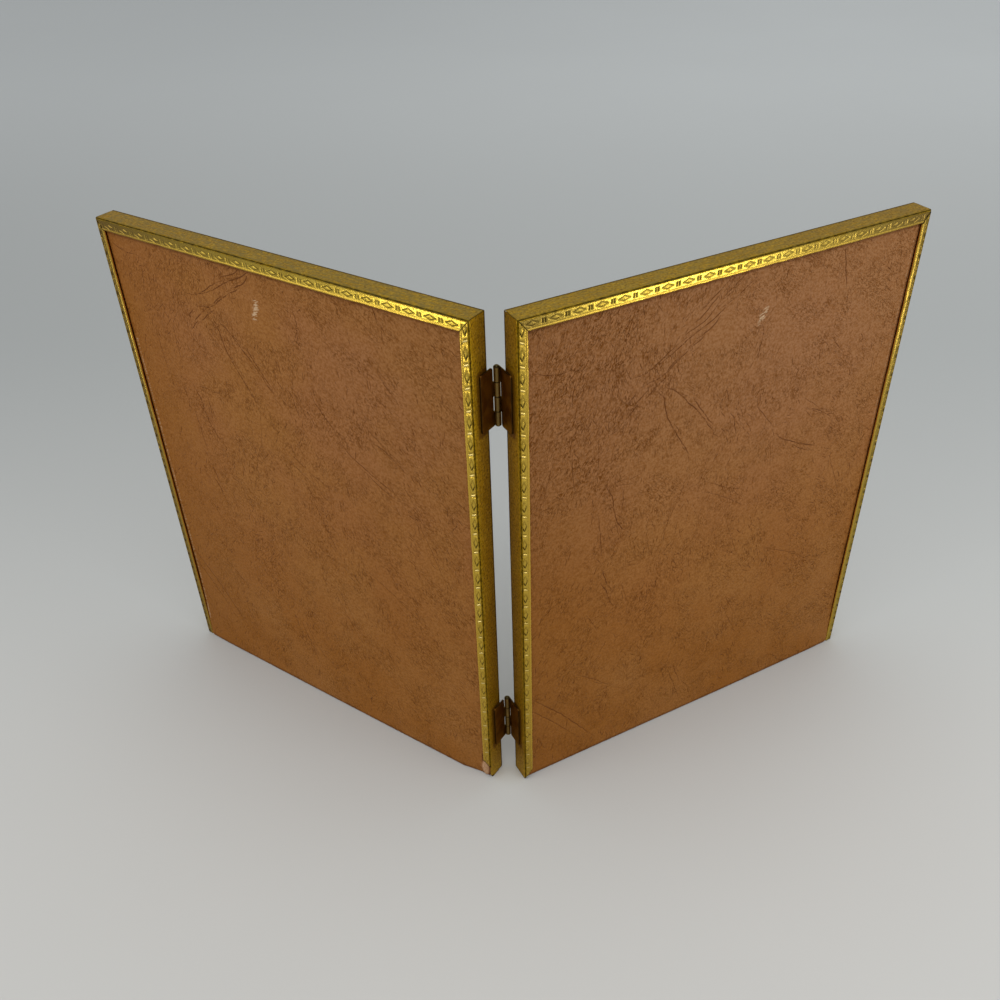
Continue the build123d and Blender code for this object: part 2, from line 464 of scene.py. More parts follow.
def gilt_material():
    """Gold-lacquered sheet: brighter on the stamped lip, mottled on the walls, dark in every recess with
    patina and painted shade.
    """
    s = Shader("gilt")
    place = s.vector("place")
    lip, shine, hem = s.number("lip"), s.number("shine"), s.number("hem")
    cloud = s.ramp(s.noise(place, 0.07), 0.35, 0.65)
    mottle = s.noise(place, 0.9, detail=4.0, roughness=0.7)
    fleck = s.noise(s.sized(place, (1.6, 0.7, 0.7)), 1.0, roughness=0.6)
    streak = s.noise(s.sized(place, (4.5, 1.2, 1.2)), 1.0, detail=4.0, roughness=0.65)
    pebble = s.noise(place, 1.3, roughness=0.6)
    speck = s.ramp(s.cells(place, 0.16), 0.075, 0.03)
    dust = s.times(s.number("dust"), s.ramp(streak, 0.36, 0.62, 0.1, 0.85))
    leather_reflection = s.ramp(hem, 1.6, 2.0)
    heat = s.ramp(s.plus(s.number("stain"), s.times(mottle, 0.25)), 0.35, 0.95)
    # The patina value holds patina in the stamped lines and dirt in the mitres, with painted shade in the
    # grooves, under the hem, along the break and beside the ridges
    dirt_and_shade = s.ramp(s.number("patina"), 0.05, 0.95)
    wall = s.layered(
        s.mix(cloud, (0.49, 0.29, 0.009), (0.56, 0.345, 0.014)),
        (s.ramp(mottle, 0.44, 0.64, 0.0, 0.85), (0.17, 0.09, 0.005)),
        (s.ramp(fleck, 0.54, 0.70, 0.0, 0.7), (0.72, 0.52, 0.09)),
        (dust, (0.26, 0.196, 0.043)),
    )
    bright = s.mix(cloud, (0.60, 0.42, 0.05), (0.66, 0.48, 0.065))
    gold = s.layered(
        # Darker where tarnished, and brighter where a reflection of bright light is painted in
        s.mix(shine, (0.23, 0.152, 0.034), bright),
        # The hem's warmer gold, with a painted highlight along its rounded edge
        (s.times(hem, s.ramp(shine, 0.0, 1.0, 0.6, 1.0)), (0.68, 0.43, 0.06)),
        # A painted reflection of the brown leather, copper-red, inside the outer rails' hems
        (leather_reflection, (0.66, 0.24, 0.06)),
        # Painted glints on the ridges of the hinge lips
        (s.times(s.number("glint"), 0.85), (0.96, 0.80, 0.36)),
        (s.ramp(mottle, 0.54, 0.78, 0.0, 0.6), (0.26, 0.16, 0.02)),
    )
    colour = s.layered(
        s.mix(lip, wall, gold),
        (s.times(speck, 0.8), (0.03, 0.018, 0.005)),
        (s.times(heat, 0.7), (0.13, 0.045, 0.006)),
        (dirt_and_shade, (0.014, 0.008, 0.002)),
    )
    rough = s.plus(s.ramp(lip, 0.0, 1.0, 0.40, 0.20), s.ramp(mottle, 0.3, 0.7, 0.0, 0.12))
    rough = s.plus(s.plus(rough, s.times(dirt_and_shade, 0.3)), s.times(leather_reflection, 0.35))
    normal = s.bump(s.times(pebble, s.ramp(lip, 0.0, 1.0, 1.0, 0.3)), 0.0003, 0.5)
    return s.finish(
        Base_Color=colour, Roughness=rough, Normal=normal, Metallic=1.0, Specular_Tint=(0.68, 0.58, 0.68),
    )


# Directions of the leatherette's grain, and a shift for each so that they differ
GRAIN_TURNS = ((-0.45, 11.0), (0.12, 37.0), (0.8, 71.0))


def leather_grain(s, view, across):
    """Dark flecks, pale flecks and fine lines of a grain that leans left, upright or right by places."""
    zone = s.plus(s.noise(view, 0.02, detail=1.0), s.ramp(across, 20.0, 190.0, -0.13, 0.15))
    leaning_left, leaning_right = s.ramp(zone, 0.45, 0.38), s.ramp(zone, 0.53, 0.60)
    upright = s.minus(s.minus(1.0, leaning_left), leaning_right)
    dark = pale = lines = 0.0
    for (turn, shift), share in zip(GRAIN_TURNS, (leaning_left, upright, leaning_right)):
        short = s.sized(view, (0.55, 1.3, 1.0), turn, shift)
        long = s.sized(view, (1.7, 5.5, 1.0), turn, shift)
        grain = s.noise(short, 1.0, detail=2.0, roughness=0.6, distortion=0.5)
        wander = s.noise(long, 1.0, detail=2.0, roughness=0.5, distortion=0.8)
        from_line = s.math("ABSOLUTE", s.minus(wander, 0.5))
        dark = s.plus(dark, s.times(share, s.ramp(grain, 0.53, 0.64)))
        pale = s.plus(pale, s.times(share, s.ramp(grain, 0.44, 0.34)))
        lines = s.plus(lines, s.times(share, s.ramp(from_line, 0.030, 0.004)))
    return dark, pale, lines


def leatherette_material(side, scuffs, lip_line):
    """Brown leather-grained paper: fine lines of grain, painted shade in the creases, a painted shadow
    under the lip, a painted sheen towards the top, pale scuffs.
    """
    s = Shader(f"leatherette_{side}")
    view = s.vector("view")
    across, height = s.part(view, "X"), s.part(view, "Y")
    drift = s.noise(view, 0.018, detail=2.0)
    speckle = s.noise(view, 0.85, roughness=0.7)
    patch = s.ramp(s.noise(view, 0.05, detail=2.0), 0.38, 0.60, 0.3, 1.2)
    broken = s.ramp(s.noise(view, 0.16, detail=2.0), 0.44, 0.60)
    dark, pale, lines = leather_grain(s, view, across)
    if side == "left":
        calm = s.ramp(across, 5.0, 70.0, 0.65, 1.0)
        patch, broken = s.times(patch, calm), s.times(broken, calm)
        # A painted sheen: paler towards the top on the hinge side
        top_sheen = s.times(s.ramp(height, 120.0, 235.0), s.ramp(across, 90.0, 190.0, 0.0, 0.3))
    else:
        gathered = s.times(s.ramp(across, 90.0, 30.0), s.ramp(height, 140.0, 195.0))
        patch, broken = s.plus(patch, s.times(gathered, 0.6)), s.plus(broken, s.times(gathered, 0.4))
        # A painted sheen: paler towards the top
        top_sheen = s.ramp(height, 90.0, 225.0, 0.0, 0.65)
    dark = s.times(dark, patch)
    lines = s.times(lines, s.times(broken, patch))
    # A painted shadow of the lip along the top, joined by the painted shade of the creases, the foot and
    # the bulge's rim
    lip_shadow = s.ramp(height, lip_line - 2.0, lip_line - 0.9, 0.0, 0.5)
    painted_shade = s.math("MAXIMUM", s.number("crease"), lip_shadow)
    worn = s.times(s.number("wear"), s.ramp(speckle, 0.35, 0.55, 0.35, 1.0))
    ragged = s.ramp(s.noise(s.sized(view, (2.5, 0.5, 1.0), 0.35), 1.0), 0.35, 0.65, -0.5, 0.6)
    marks = [
        (s.times(s.stroke(view, start, end, half_width, ragged), amount), (0.58, 0.40, 0.24))
        for start, end, half_width, amount in scuffs
    ]
    tone = s.layered(
        # Lighter and pinker towards the top, as a painted sheen
        s.mix(s.ramp(height, 10.0, 240.0), (0.288, 0.107, 0.016), (0.325, 0.134, 0.044)),
        (s.ramp(drift, 0.35, 0.65), (0.318, 0.132, 0.030)),
        # Painted shade: darker towards the left edge of each back as seen from behind
        (s.ramp(across, 70.0, 5.0, 0.0, 0.7), (0.258, 0.094, 0.012)),
        (top_sheen, (0.322, 0.152, 0.066)),
        (s.times(pale, 0.25), (0.42, 0.19, 0.065)),
        (s.ramp(speckle, 0.40, 0.64, 0.0, 0.6), (0.205, 0.067, 0.007)),
        (s.times(dark, 0.42), (0.170, 0.052, 0.002)),
        (s.times(lines, 0.8), (0.158, 0.047, 0.002)),
        (s.times(painted_shade, 1.15), (0.108, 0.030, 0.003)),
        (worn, (0.50, 0.30, 0.17)),
        *marks,
    )
    relief = s.minus(s.times(speckle, 0.5), s.math("MAXIMUM", dark, lines))
    normal = s.bump(relief, 0.00018, 0.8)
    rough = s.ramp(dark, 0.0, 1.0, 0.50, 0.66)
    return s.finish(Base_Color=tone, Roughness=rough, Normal=normal, Specular_IOR_Level=0.08)


def hinge_material(name, light, dark, rubbed, barrel):
    """Oxidised brass: dark brown plates, painted near black at their edges and between the knuckles as
    shade, and an olive barrel rubbed by use.
    """
    s = Shader(name)
    place = s.millimetres()
    cloud = s.noise(place, 0.22, detail=4.0)
    fine = s.noise(place, 3.5)
    streak = s.noise(s.sized(place, (0.5, 0.5, 4.0)), 1.0)
    colour = s.layered(
        s.mix(s.ramp(cloud, 0.38, 0.62), dark, light),
        (s.ramp(streak, 0.55, 0.75, 0.0, 0.45), rubbed),
        (s.number("barrel"), s.mix(s.ramp(fine, 0.35, 0.65, 0.0, 0.4), barrel, dark)),
        # Painted shade, near black, at the plates' edges and between the knuckles
        (s.times(s.number("edge"), 0.85), (0.012, 0.006, 0.003)),
    )
    rough = s.ramp(fine, 0.3, 0.7, 0.28, 0.44)
    normal = s.bump(fine, 0.00006, 0.5)
    return s.finish(
        Base_Color=colour, Roughness=rough, Normal=normal, Metallic=0.95, Specular_Tint=(0.9, 0.7, 0.4),
    )


def card_material(name, pale, dark, fibre_size, rough):
    """Paper or board: short fibres in two directions, small flecks and a soft unevenness."""
    s = Shader(name)
    place = s.millimetres()
    cloud = s.noise(place, 0.03, detail=2.0)
    upright = s.noise(s.sized(place, (fibre_size, fibre_size, 5.0)), 1.0, detail=4.0)
    level = s.noise(s.sized(place, (4.0, 4.0, fibre_size)), 1.0, detail=4.0)
    fibre = s.times(upright, level)
    colour = s.layered(
        pale, (s.ramp(cloud, 0.3, 0.7, 0.0, 0.4), dark), (s.ramp(fibre, 0.26, 0.40, 0.0, 0.8), dark),
    )
    normal = s.bump(fibre, 0.00008, 0.5)
    return s.finish(Base_Color=colour, Roughness=s.ramp(fibre, 0.1, 0.5, rough, rough + 0.1), Normal=normal)


def glass_material():
    """Clear picture glass with a little dust haze on it."""
    s = Shader("picture_glass")
    place = s.millimetres()
    haze = s.ramp(s.noise(place, 0.05, detail=5.0), 0.45, 0.75)
    dust = s.ramp(s.cells(place, 0.35), 0.06, 0.02)
    rough = s.plus(s.times(haze, 0.04), s.times(dust, 0.25))
    return s.finish(Base_Color=(0.96, 0.985, 0.975), Roughness=rough, Transmission_Weight=1.0, IOR=1.48)


def steel_material():
    """Tinned steel of the corner keys, dulled and a little rusty."""
    s = Shader("tinned_steel")
    place = s.millimetres()
    rust = s.ramp(s.noise(place, 0.5, detail=5.0, roughness=0.7), 0.55, 0.72)
    colour = s.mix(rust, (0.46, 0.45, 0.42), (0.20, 0.09, 0.04))
    rough = s.ramp(rust, 0.0, 1.0, 0.38, 0.75)
    normal = s.bump(s.noise(place, 2.0), 0.00005, 0.4)
    return s.finish(Base_Color=colour, Roughness=rough, Normal=normal, Metallic=0.85)


# Marks on each back as seen from behind: from, to, half width, how pale
SCUFFS = {
    "left": (
        ((94.6, 238.2), (92.0, 230.8), 2.1, 0.85),
        ((5.3, 198.0), (5.1, 14.0), 0.9, 0.45),
        ((180.0, 235.4), (179.6, 210.6), 0.3, 0.45),
    ),
    "right": (
        ((119.6, 232.2), (117.6, 228.8), 1.9, 0.85),
        ((117.6, 229.0), (116.4, 226.2), 1.3, 0.4),
        ((200.5, 246.0), (200.6, 150.0), 0.6, 0.35),
        ((16.0, 221.5), (19.8, 223.8), 0.25, 0.45),
        ((191.0, 45.2), (191.4, 44.6), 0.6, 0.7),
        ((38.8, 144.4), (39.6, 144.2), 0.4, 0.6),
    ),
}

materials = {
    "gilt": gilt_material(),
    "hinge_plate": hinge_material(
        "oxidised_brass", light=(0.29, 0.138, 0.021), dark=(0.17, 0.072, 0.012),
        rubbed=(0.35, 0.20, 0.035), barrel=(0.16, 0.130, 0.048),
    ),
    "hinge_pin": hinge_material(
        "dark_brass", light=(0.07, 0.054, 0.022), dark=(0.030, 0.022, 0.010),
        rubbed=(0.14, 0.11, 0.04), barrel=(0.14, 0.11, 0.04),
    ),
    "board": card_material("greyboard", (0.36, 0.33, 0.28), (0.22, 0.20, 0.17), 0.8, 0.85),
    "card": card_material("kraft_card", (0.46, 0.31, 0.18), (0.30, 0.19, 0.10), 1.1, 0.82),
    "paper": card_material("blank_photo_paper", (0.80, 0.78, 0.73), (0.74, 0.71, 0.65), 0.7, 0.42),
    "glass": glass_material(),
    "steel": steel_material(),
}
for side, scuffs in SCUFFS.items():
    lip_line = leaves[side].height - LIP_WIDTHS[side]["top_rail"]
    materials[f"{side}_leatherette"] = leatherette_material(side, scuffs, lip_line)


# Rails
class Skin:
    """The outer skin of a rail in section, walked from its hem to its sight edge and sampled on the way."""

    def __init__(self, inset, depth):
        self.at = np.array((inset, depth), dtype=float)
        self.heading = 0.0
        self.run = 0.0
        self.points = []
        self.normals = []
        self.runs = []
        self.zones = []

    def step(self, length):
        turn = math.radians(self.heading)
        self.at = self.at + length * np.array((math.cos(turn), math.sin(turn)))
        self.run += length

    def mark(self, zone):
        turn = math.radians(self.heading)
        self.points.append(self.at)
        self.normals.append((-math.sin(turn), math.cos(turn)))
        self.runs.append(self.run)
        self.zones.append(zone)

    def line(self, length, steps, zone):
        for _ in range(steps):
            self.step(length / steps)
            self.mark(zone)

    def arc(self, radius, turn, steps, zone):
        part = turn / steps
        for _ in range(steps):
            self.heading += part / 2
            self.step(2 * radius * math.sin(math.radians(abs(part)) / 2))
            self.heading += part / 2
            self.mark(zone)


def rail_skin(leaf, lip_width):
    """Folds the strip: hem, lip, wall, shoulder, flank, crown, ogee and sight edge."""
    flank = math.radians(flank_angle)
    glass_front = leaf.own("glass")[1][1]
    moulding_width, front_depth, _ = leaf.own("hinge_rail")[1]
    wall_depth = front_depth - moulding_rise
    if lip_width:
        skin = Skin(lip_width - hem_width, hem_depth)
        skin.mark("hem_inside")
        skin.line(hem_width - hem_depth / 2, 1, "hem_inside")
        skin.arc(hem_depth / 2, -180, 8, "hem")
        skin.line(lip_width - hem_depth / 2 - corner_bend_radius, 24, "lip")
        skin.arc(corner_bend_radius, -90, 8, "bend")
        skin.line(wall_depth - corner_bend_radius, 10, "wall")
    else:
        wall_start = leaf.own("bottom_rail")[0][1]
        skin = Skin(0, wall_start)
        skin.heading = 90
        skin.mark("wall")
        skin.line(wall_depth - wall_start, 5, "wall")
    skin.arc(front_bend_radius, -flank_angle, 3, "front")
    rise = moulding_rise - front_bend_radius * math.sin(flank) - crown_radius * (1 - math.sin(flank))
    skin.line(rise / math.cos(flank), 2, "front")
    skin.arc(crown_radius, flank_angle - 90, 4, "front")
    sight_start = np.array((moulding_width - sight_bend_radius, glass_front + sight_step))
    chord = (sight_start - skin.at) / 2
    lean = -math.degrees(math.atan2(chord[1], chord[0]))
    radius = np.linalg.norm(chord) / (2 * math.sin(math.radians(lean)))
    skin.arc(radius, -2 * lean, 4, "swell")
    skin.arc(radius, 2 * lean, 10, "hollow")
    skin.arc(sight_bend_radius, -90, 3, "sight")
    skin.line(sight_drop, 1, "sight")
    return skin


class Ring:
    """A rail in section: points down its skin and back along its lining, each with the zone it lies in."""

    def __init__(self, leaf, rail):
        self.lip_width = LIP_WIDTHS[leaf.side].get(rail, 0)
        skin = rail_skin(leaf, self.lip_width)
        points, normals, runs = np.array(skin.points), np.array(skin.normals), np.array(skin.runs)
        last = len(points) - 1
        back = [number for number in range(last, -1, -1) if number % lining_step == 0 or number == last]
        lining = points[back] - sheet_thickness * normals[back]
        self.inset, self.depth = np.concatenate((points, lining)).T
        self.normal = np.concatenate((normals, 0 * normals[back]))
        self.run = np.concatenate((runs, runs[back]))
        self.zone = np.array(skin.zones + ["lining"] * len(back))
        self.on_skin = self.zone != "lining"
        self.on_edge = self.within("hem")
        self.on_edge |= self.within("lip") & (self.inset > self.lip_width - plain_edge_width)
        self.on_flange = self.run < (self.runs_of("bend")[-1] if self.lip_width else 0)

    def within(self, *zones):
        return np.isin(self.zone, zones)

    def runs_of(self, zone):
        return self.run[self.zone == zone]


def border_stamp(along, across):
    """Height from 0 to 1 of the stamped border, its lozenge lines and its block bars.

    A lozenge lies at 0 along.
    """
    place = np.abs((along + motif_pitch / 2) % motif_pitch - motif_pitch / 2)
    reach = np.clip(1 - place / lozenge_half_length, 0, 1)
    edge = lozenge_half_height * reach ** lozenge_taper
    pillow = np.clip(1 - np.abs(across) / np.maximum(edge, 0.05), 0, 1)
    near_lozenge = soft_inside(place - lozenge_half_length, 0.08)
    outline = bump_at(np.abs(across) - edge, line_half_width) * near_lozenge
    from_block = motif_pitch / 2 - place
    block = soft_inside(np.maximum(from_block, np.abs(across)) - block_half_size, 0.06)
    bars = block * (0.4 + 0.6 * bump_at(from_block - block_bar_place, block_bar_half_width))
    height = 0.5 + 0.5 * pillow - 0.5 * np.maximum(outline, bars)
    return height, outline, bars


def worn_stamp(along, across):
    """The same border where it is rubbed: a slanting ridge for each block with a painted glint, patina in
    the lines, and painted shade on one side.
    """
    place = (along + motif_pitch / 2) % motif_pitch - motif_pitch / 2
    height, outline, _ = border_stamp(along, across)
    from_ridge = (along + ridge_slant * across) % motif_pitch - motif_pitch / 2
    block = soft_inside(np.maximum(np.abs(from_ridge), np.abs(across)) - block_half_size, 0.1)
    ridge = np.clip(1 - np.abs(from_ridge) / ridge_half_width, 0, 1)
    height = height + block * (0.2 + 0.7 * ridge - height)
    # Painted shade beside each ridge
    ridge_shade = block * bump_at(from_ridge - ridge_shade_place, ridge_shade_half_width)
    # Painted shade: the lozenge lines darker on one side
    shaded = 0.45 + 0.55 * bump_at(place + 1.4, 1.5)
    dirt_and_shade = np.maximum(0.85 * outline ** 0.45 * shaded, 0.75 * ridge_shade)
    return height, dirt_and_shade, block * ridge


def figure_spots(along, across):
    """Dirt spread over the middle of each figure of the border."""
    quarter = motif_pitch / 4
    from_figure = (along + quarter) % (2 * quarter) - quarter
    return bump_at(from_figure, spot_half_length) * bump_at(across, spot_half_height)


def lip_border(leaf, rail, ring, along, from_motif):
    """The border stamped on a lip: how deep it is sunk, its patina and painted shade, and the painted
    glints on its ridges.
    """
    across = ring.inset - ring.lip_width + MOTIF_FROM_EDGE[leaf.side]
    height, outline, bars = border_stamp(from_motif, across)
    outline_dirt, bar_dirt = BORDER_DIRT[leaf.side]
    dirt_and_shade = np.maximum(outline_dirt * outline, bar_dirt * bars) * np.interp(along, (90, 170), (1, 0.35))
    glint = np.zeros_like(along)
    if rail == "hinge_rail":
        height, dirt_and_shade, ridge = worn_stamp(from_motif, across)
        # A painted glint along each ridge
        glint = RIDGE_GLINT[leaf.side] * ridge
        dirt_and_shade = dirt_and_shade * np.interp(along, (20, 110), (0.55, 1))
    if rail == "outer_rail":
        dirt_and_shade = 0.7 * figure_spots(from_motif, across)
    on_border = ring.within("lip") & ~ring.on_edge
    return stamp_depth * (1 - np.clip(height, 0, 1)) * on_border, dirt_and_shade * on_border, glint * on_border


# Each of the next three gives a list of marks: how deep each is sunk, and how dark each is painted, with
# dirt for some and shade for others
def lip_marks(ring, from_motif):
    """The groove at a lip's corner with painted shade in it, the line by its edge, the score on the wall,
    and painted shade under the hem.
    """
    from_groove = ring.run - ring.runs_of("bend").mean()
    beads = 0.93 + 0.07 * np.cos(4 * math.pi * from_motif / motif_pitch)
    groove = bump_at(from_groove, groove_half_width) * ring.on_skin * beads
    # Painted shade in the groove
    groove_shade = bump_at(from_groove - 0.1, 1.4 * groove_half_width) * ring.on_skin * beads
    edge_run = ring.runs_of("hem")[-1] + plain_edge_width - hem_depth / 2
    edge_line = bump_at(ring.run - edge_run, edge_line_half_width) * ring.on_skin
    score = bump_at(ring.depth - score_place, score_half_width) * ring.within("wall")
    # Painted shade under the hem
    hem_underside_shade = ring.within("hem") & (ring.depth > 0.85 * hem_depth)
    return [
        (groove_depth * groove, 0.78 * groove_shade),
        (edge_line_depth * edge_line, 0.3 * edge_line),
        (score_depth * score, 0.3 * score),
        (0, 0.12 * hem_underside_shade),
    ]


def front_marks(ring, from_motif):
    """The dark shoulder of the moulding, and the border stamped in its hollow."""
    hollow = ring.within("hollow")
    height, outline, bars = border_stamp(from_motif, ring.run - ring.runs_of("hollow").mean())
    shoulder = bump_at(ring.run - ring.runs_of("front")[0], shoulder_dark_reach) * ring.on_skin
    return [
        (0, 0.7 * shoulder),
        (stamp_depth * (1 - height) * hollow, 0.5 * np.maximum(outline, bars) * hollow),
    ]


def end_marks(rail, ring, along):
    """Dirt in the mitres, darkening at a hinge rail's foot, and the seam near a top rail's end."""
    from_end = np.minimum(along - along[0], along[-1] - along)
    marks = [(0, 0.7 * bump_at(from_end, mitre_dirt_reach) * ring.on_skin)]
    if rail == "hinge_rail":
        marks.append((0, 0.8 * bump_at(along - along[0], foot_dark_reach) * ring.on_skin))
    if rail == "top_rail":
        seam = bump_at(along - seam_place, seam_half_width) * ring.within("wall")
        marks.append((seam_depth * seam, 0.5 * seam))
    return marks


def rail_rows(length, start_line, end_line):
    """Places along a rail: evenly spaced, and drawn together towards the line at each end."""
    count = 2 * round(length / row_step / 2) + 1
    even = np.linspace(0, length, count)[:, None]
    from_start = start_line + even * (mitre_zone - start_line) / mitre_zone
    from_end = length - end_line - (length - even) * (mitre_zone - end_line) / mitre_zone
    return np.where(even < mitre_zone, from_start, np.where(even > length - mitre_zone, from_end, even))


def rail_axes(leaf, rail):
    """A rail's length, and its start, inward direction and running direction in the leaf's axes."""
    out, up = np.array((1, 0, 0)), np.array((0, 0, 1))
    far, top = leaf.width * out, leaf.height * up
    return {
        "top_rail": (leaf.width, top, -up, out),
        "outer_rail": (leaf.height, far + top, -out, -up),
        "bottom_rail": (leaf.width, far, up, -out),
        "hinge_rail": (leaf.height, 0 * out, out, up),
    }[rail]


def hinge_stain(leaf, along, depth):
    """Heat stain on the hinge rail's wall, strongest by the soldered plates."""
    stain = np.zeros_like(along)
    for hinge in ("upper_hinge", "lower_hinge"):
        low, high = leaf.extent(f"{hinge}_{leaf.side}_plate")
        beyond = np.maximum(np.maximum(low[2] - along, along - high[2]), 0)
        behind = np.maximum(low[1] - depth, 0)
        stain = np.maximum(stain, bump_at(np.hypot(beyond, behind), stain_reach))
    return stain


def foot_lift(leaf, ring):
    """How far the rounded rear corner of a hinge rail's foot stands off the floor."""
    corner = broken_edge_depth if leaf.mirrored else 0
    from_round = np.clip(foot_round - (ring.depth - corner), 0, foot_round)
    from_round = np.where(ring.on_flange & leaf.mirrored, foot_round, from_round)
    return foot_round - np.sqrt(foot_round ** 2 - from_round ** 2)


def rail_ends(leaf, rail, ring):
    """How far in from each end of a rail its points stop: mitred, and on the lip cut as the lips meet."""
    widths = LIP_WIDTHS[leaf.side]
    starts = {"top_rail": "hinge_rail", "outer_rail": "top_rail"}
    ends = {"top_rail": "outer_rail", "hinge_rail": "top_rail"}
    lines = []
    for neighbour in (starts.get(rail), ends.get(rail)):
        slope = np.where(ring.on_flange, widths[neighbour] / ring.lip_width, 1.0) if neighbour else 1.0
        lines.append(ring.inset * slope + mitre_gap)
    start_line, end_line = lines
    if rail == "hinge_rail":
        foot_slope = 0 if leaf.mirrored else foot_cut_slope
        start_line = np.where(ring.on_flange, floor_lift + foot_slope * ring.inset, start_line)
        start_line = np.maximum(start_line, foot_lift(leaf, ring))
    if rail == "outer_rail":
        end_line = np.where(ring.on_flange, floor_lift, end_line)
    if not leaf.mirrored:
        opening = open_mitre_gap - mitre_gap
        start_line = start_line + opening * (rail == "outer_rail")
        end_line = end_line + opening * (rail == "top_rail")
    return start_line, end_line


def break_lip(ring, along):
    """Ends the lip on a slant above its foot. Gives the points that go, and painted shade along the break.
    """
    lip = ring.on_flange
    line = broken_lip_height + broken_lip_slope * ring.inset
    cut_row = np.argmax(along[:, 0] > broken_lip_height)
    along[cut_row, lip] = line[lip]
    along[cut_row - 1, lip] = line[lip] - break_gap
    after = along[cut_row + 1:cut_row + rows_above_break]
    after[:, lip] = np.maximum(after[:, lip], line[lip] + break_gap / 2)
    missing = (np.arange(len(along)) < cut_row)[:, None] & lip
    return missing, 0.9 * bump_at(along - line, broken_shade_reach) * lip


def hem_warmth_and_highlight(rail, ring):
    """How warm the gold of a lip's edge is, standing partly for a painted highlight: most on its hem, and
    copper inside the outer rails' hems as a painted reflection of the leather.
    """
    on_hem = ring.within("hem")
    warmth_and_highlight = np.maximum(0.6 * ring.on_edge, on_hem & (ring.depth > 0.25 * hem_depth))
    if rail == "hinge_rail":
        return np.maximum(0.4, 1.5 * warmth_and_highlight)
    if rail == "outer_rail":
        return np.where(on_hem & (ring.depth > 0.4 * hem_depth), 2.0, warmth_and_highlight)
    return warmth_and_highlight


def rail_relief(leaf, rail, ring, along, seed):
    """How deep each point of a rail is sunk, how dark its dirt and painted shade are and how bright the
    painted glints on its ridges are.
    """
    from_motif = along - MOTIF_PLACES[leaf.side][rail]
    recess, dirt_and_shade, glint = lip_border(leaf, rail, ring, along, from_motif)
    uneven = ripple(along + 3 * ring.depth, seed, waves=5, shortest=14, longest=70)
    dents = np.clip(1 + uneven, 0, 2) * ring.within("wall")
    marks = lip_marks(ring, from_motif) if ring.lip_width else []
    marks += front_marks(ring, from_motif) + [(wall_dent * dents, 0)] + end_marks(rail, ring, along)
    for deep, mark_dirt_and_shade in marks:
        recess = recess + deep
        dirt_and_shade = np.maximum(dirt_and_shade, mark_dirt_and_shade)
    return recess, dirt_and_shade, glint


def make_rail(leaf, rail, seed):
    ring = Ring(leaf, rail)
    length, start, inward, onward = rail_axes(leaf, rail)
    along = rail_rows(length, *rail_ends(leaf, rail, ring))
    missing, patina = np.zeros(along.shape, dtype=bool), np.zeros(along.shape)
    if leaf.mirrored and rail == "hinge_rail":
        missing, patina = break_lip(ring, along)
    recess, dirt_and_shade, glint = rail_relief(leaf, rail, ring, along, seed)
    wave = ripple(along, seed + 1, waves=6, shortest=9, longest=60)
    wave = hem_wave * np.abs(wave) * ring.within("hem")
    inset = ring.inset - recess * ring.normal[:, 0] - wave
    depth = ring.depth - recess * ring.normal[:, 1]
    inset = np.where(missing, np.where(ring.on_skin, 0, sheet_thickness), inset)
    depth = np.where(missing, broken_edge_depth, depth)
    local = start + inset[..., None] * inward + along[..., None] * onward
    local = local + depth[..., None] * np.array((0, 1, 0))

    shine = LIP_TARNISH_AND_REFLECTION.get((leaf.side, rail), LIP_TARNISH_AND_REFLECTION[leaf.side, "hinge_rail"])
    # The gilt's looks: patina with painted shade, tarnish with a painted reflection, the hem's warmth with
    # a painted highlight, and painted glints
    looks = {
        "patina": np.maximum(patina, dirt_and_shade),
        "lip": ring.within("lip", "hem", "hollow"),
        "shine": np.interp(along, *shine),
        "hem": hem_warmth_and_highlight(rail, ring),
        "stain": hinge_stain(leaf, along, depth) if rail == "hinge_rail" else 0,
        "glint": glint,
        "dust": TOP_DUST[leaf.side] * ring.within("wall", "bend") if rail == "top_rail" else 0,
    }
    attributes = {"place": np.stack((along + pattern_shift * seed, inset, depth), axis=-1).reshape(-1, 3)}
    for key, values in looks.items():
        attributes[key] = np.broadcast_to(values, along.shape).ravel()
    make_piece(
        f"{leaf.side}_{rail}_gilt", leaf, local.reshape(-1, 3), tube_faces(*along.shape), materials["gilt"],
        attributes, f"{leaf.side}_leaf", f"{leaf.side}_{rail}",
    )


RAILS = ("top_rail", "outer_rail", "bottom_rail", "hinge_rail")
for leaf_number, leaf in enumerate(leaves.values()):
    for rail_number, rail in enumerate(RAILS):
        make_rail(leaf, rail, 10 * leaf_number + rail_number + 1)


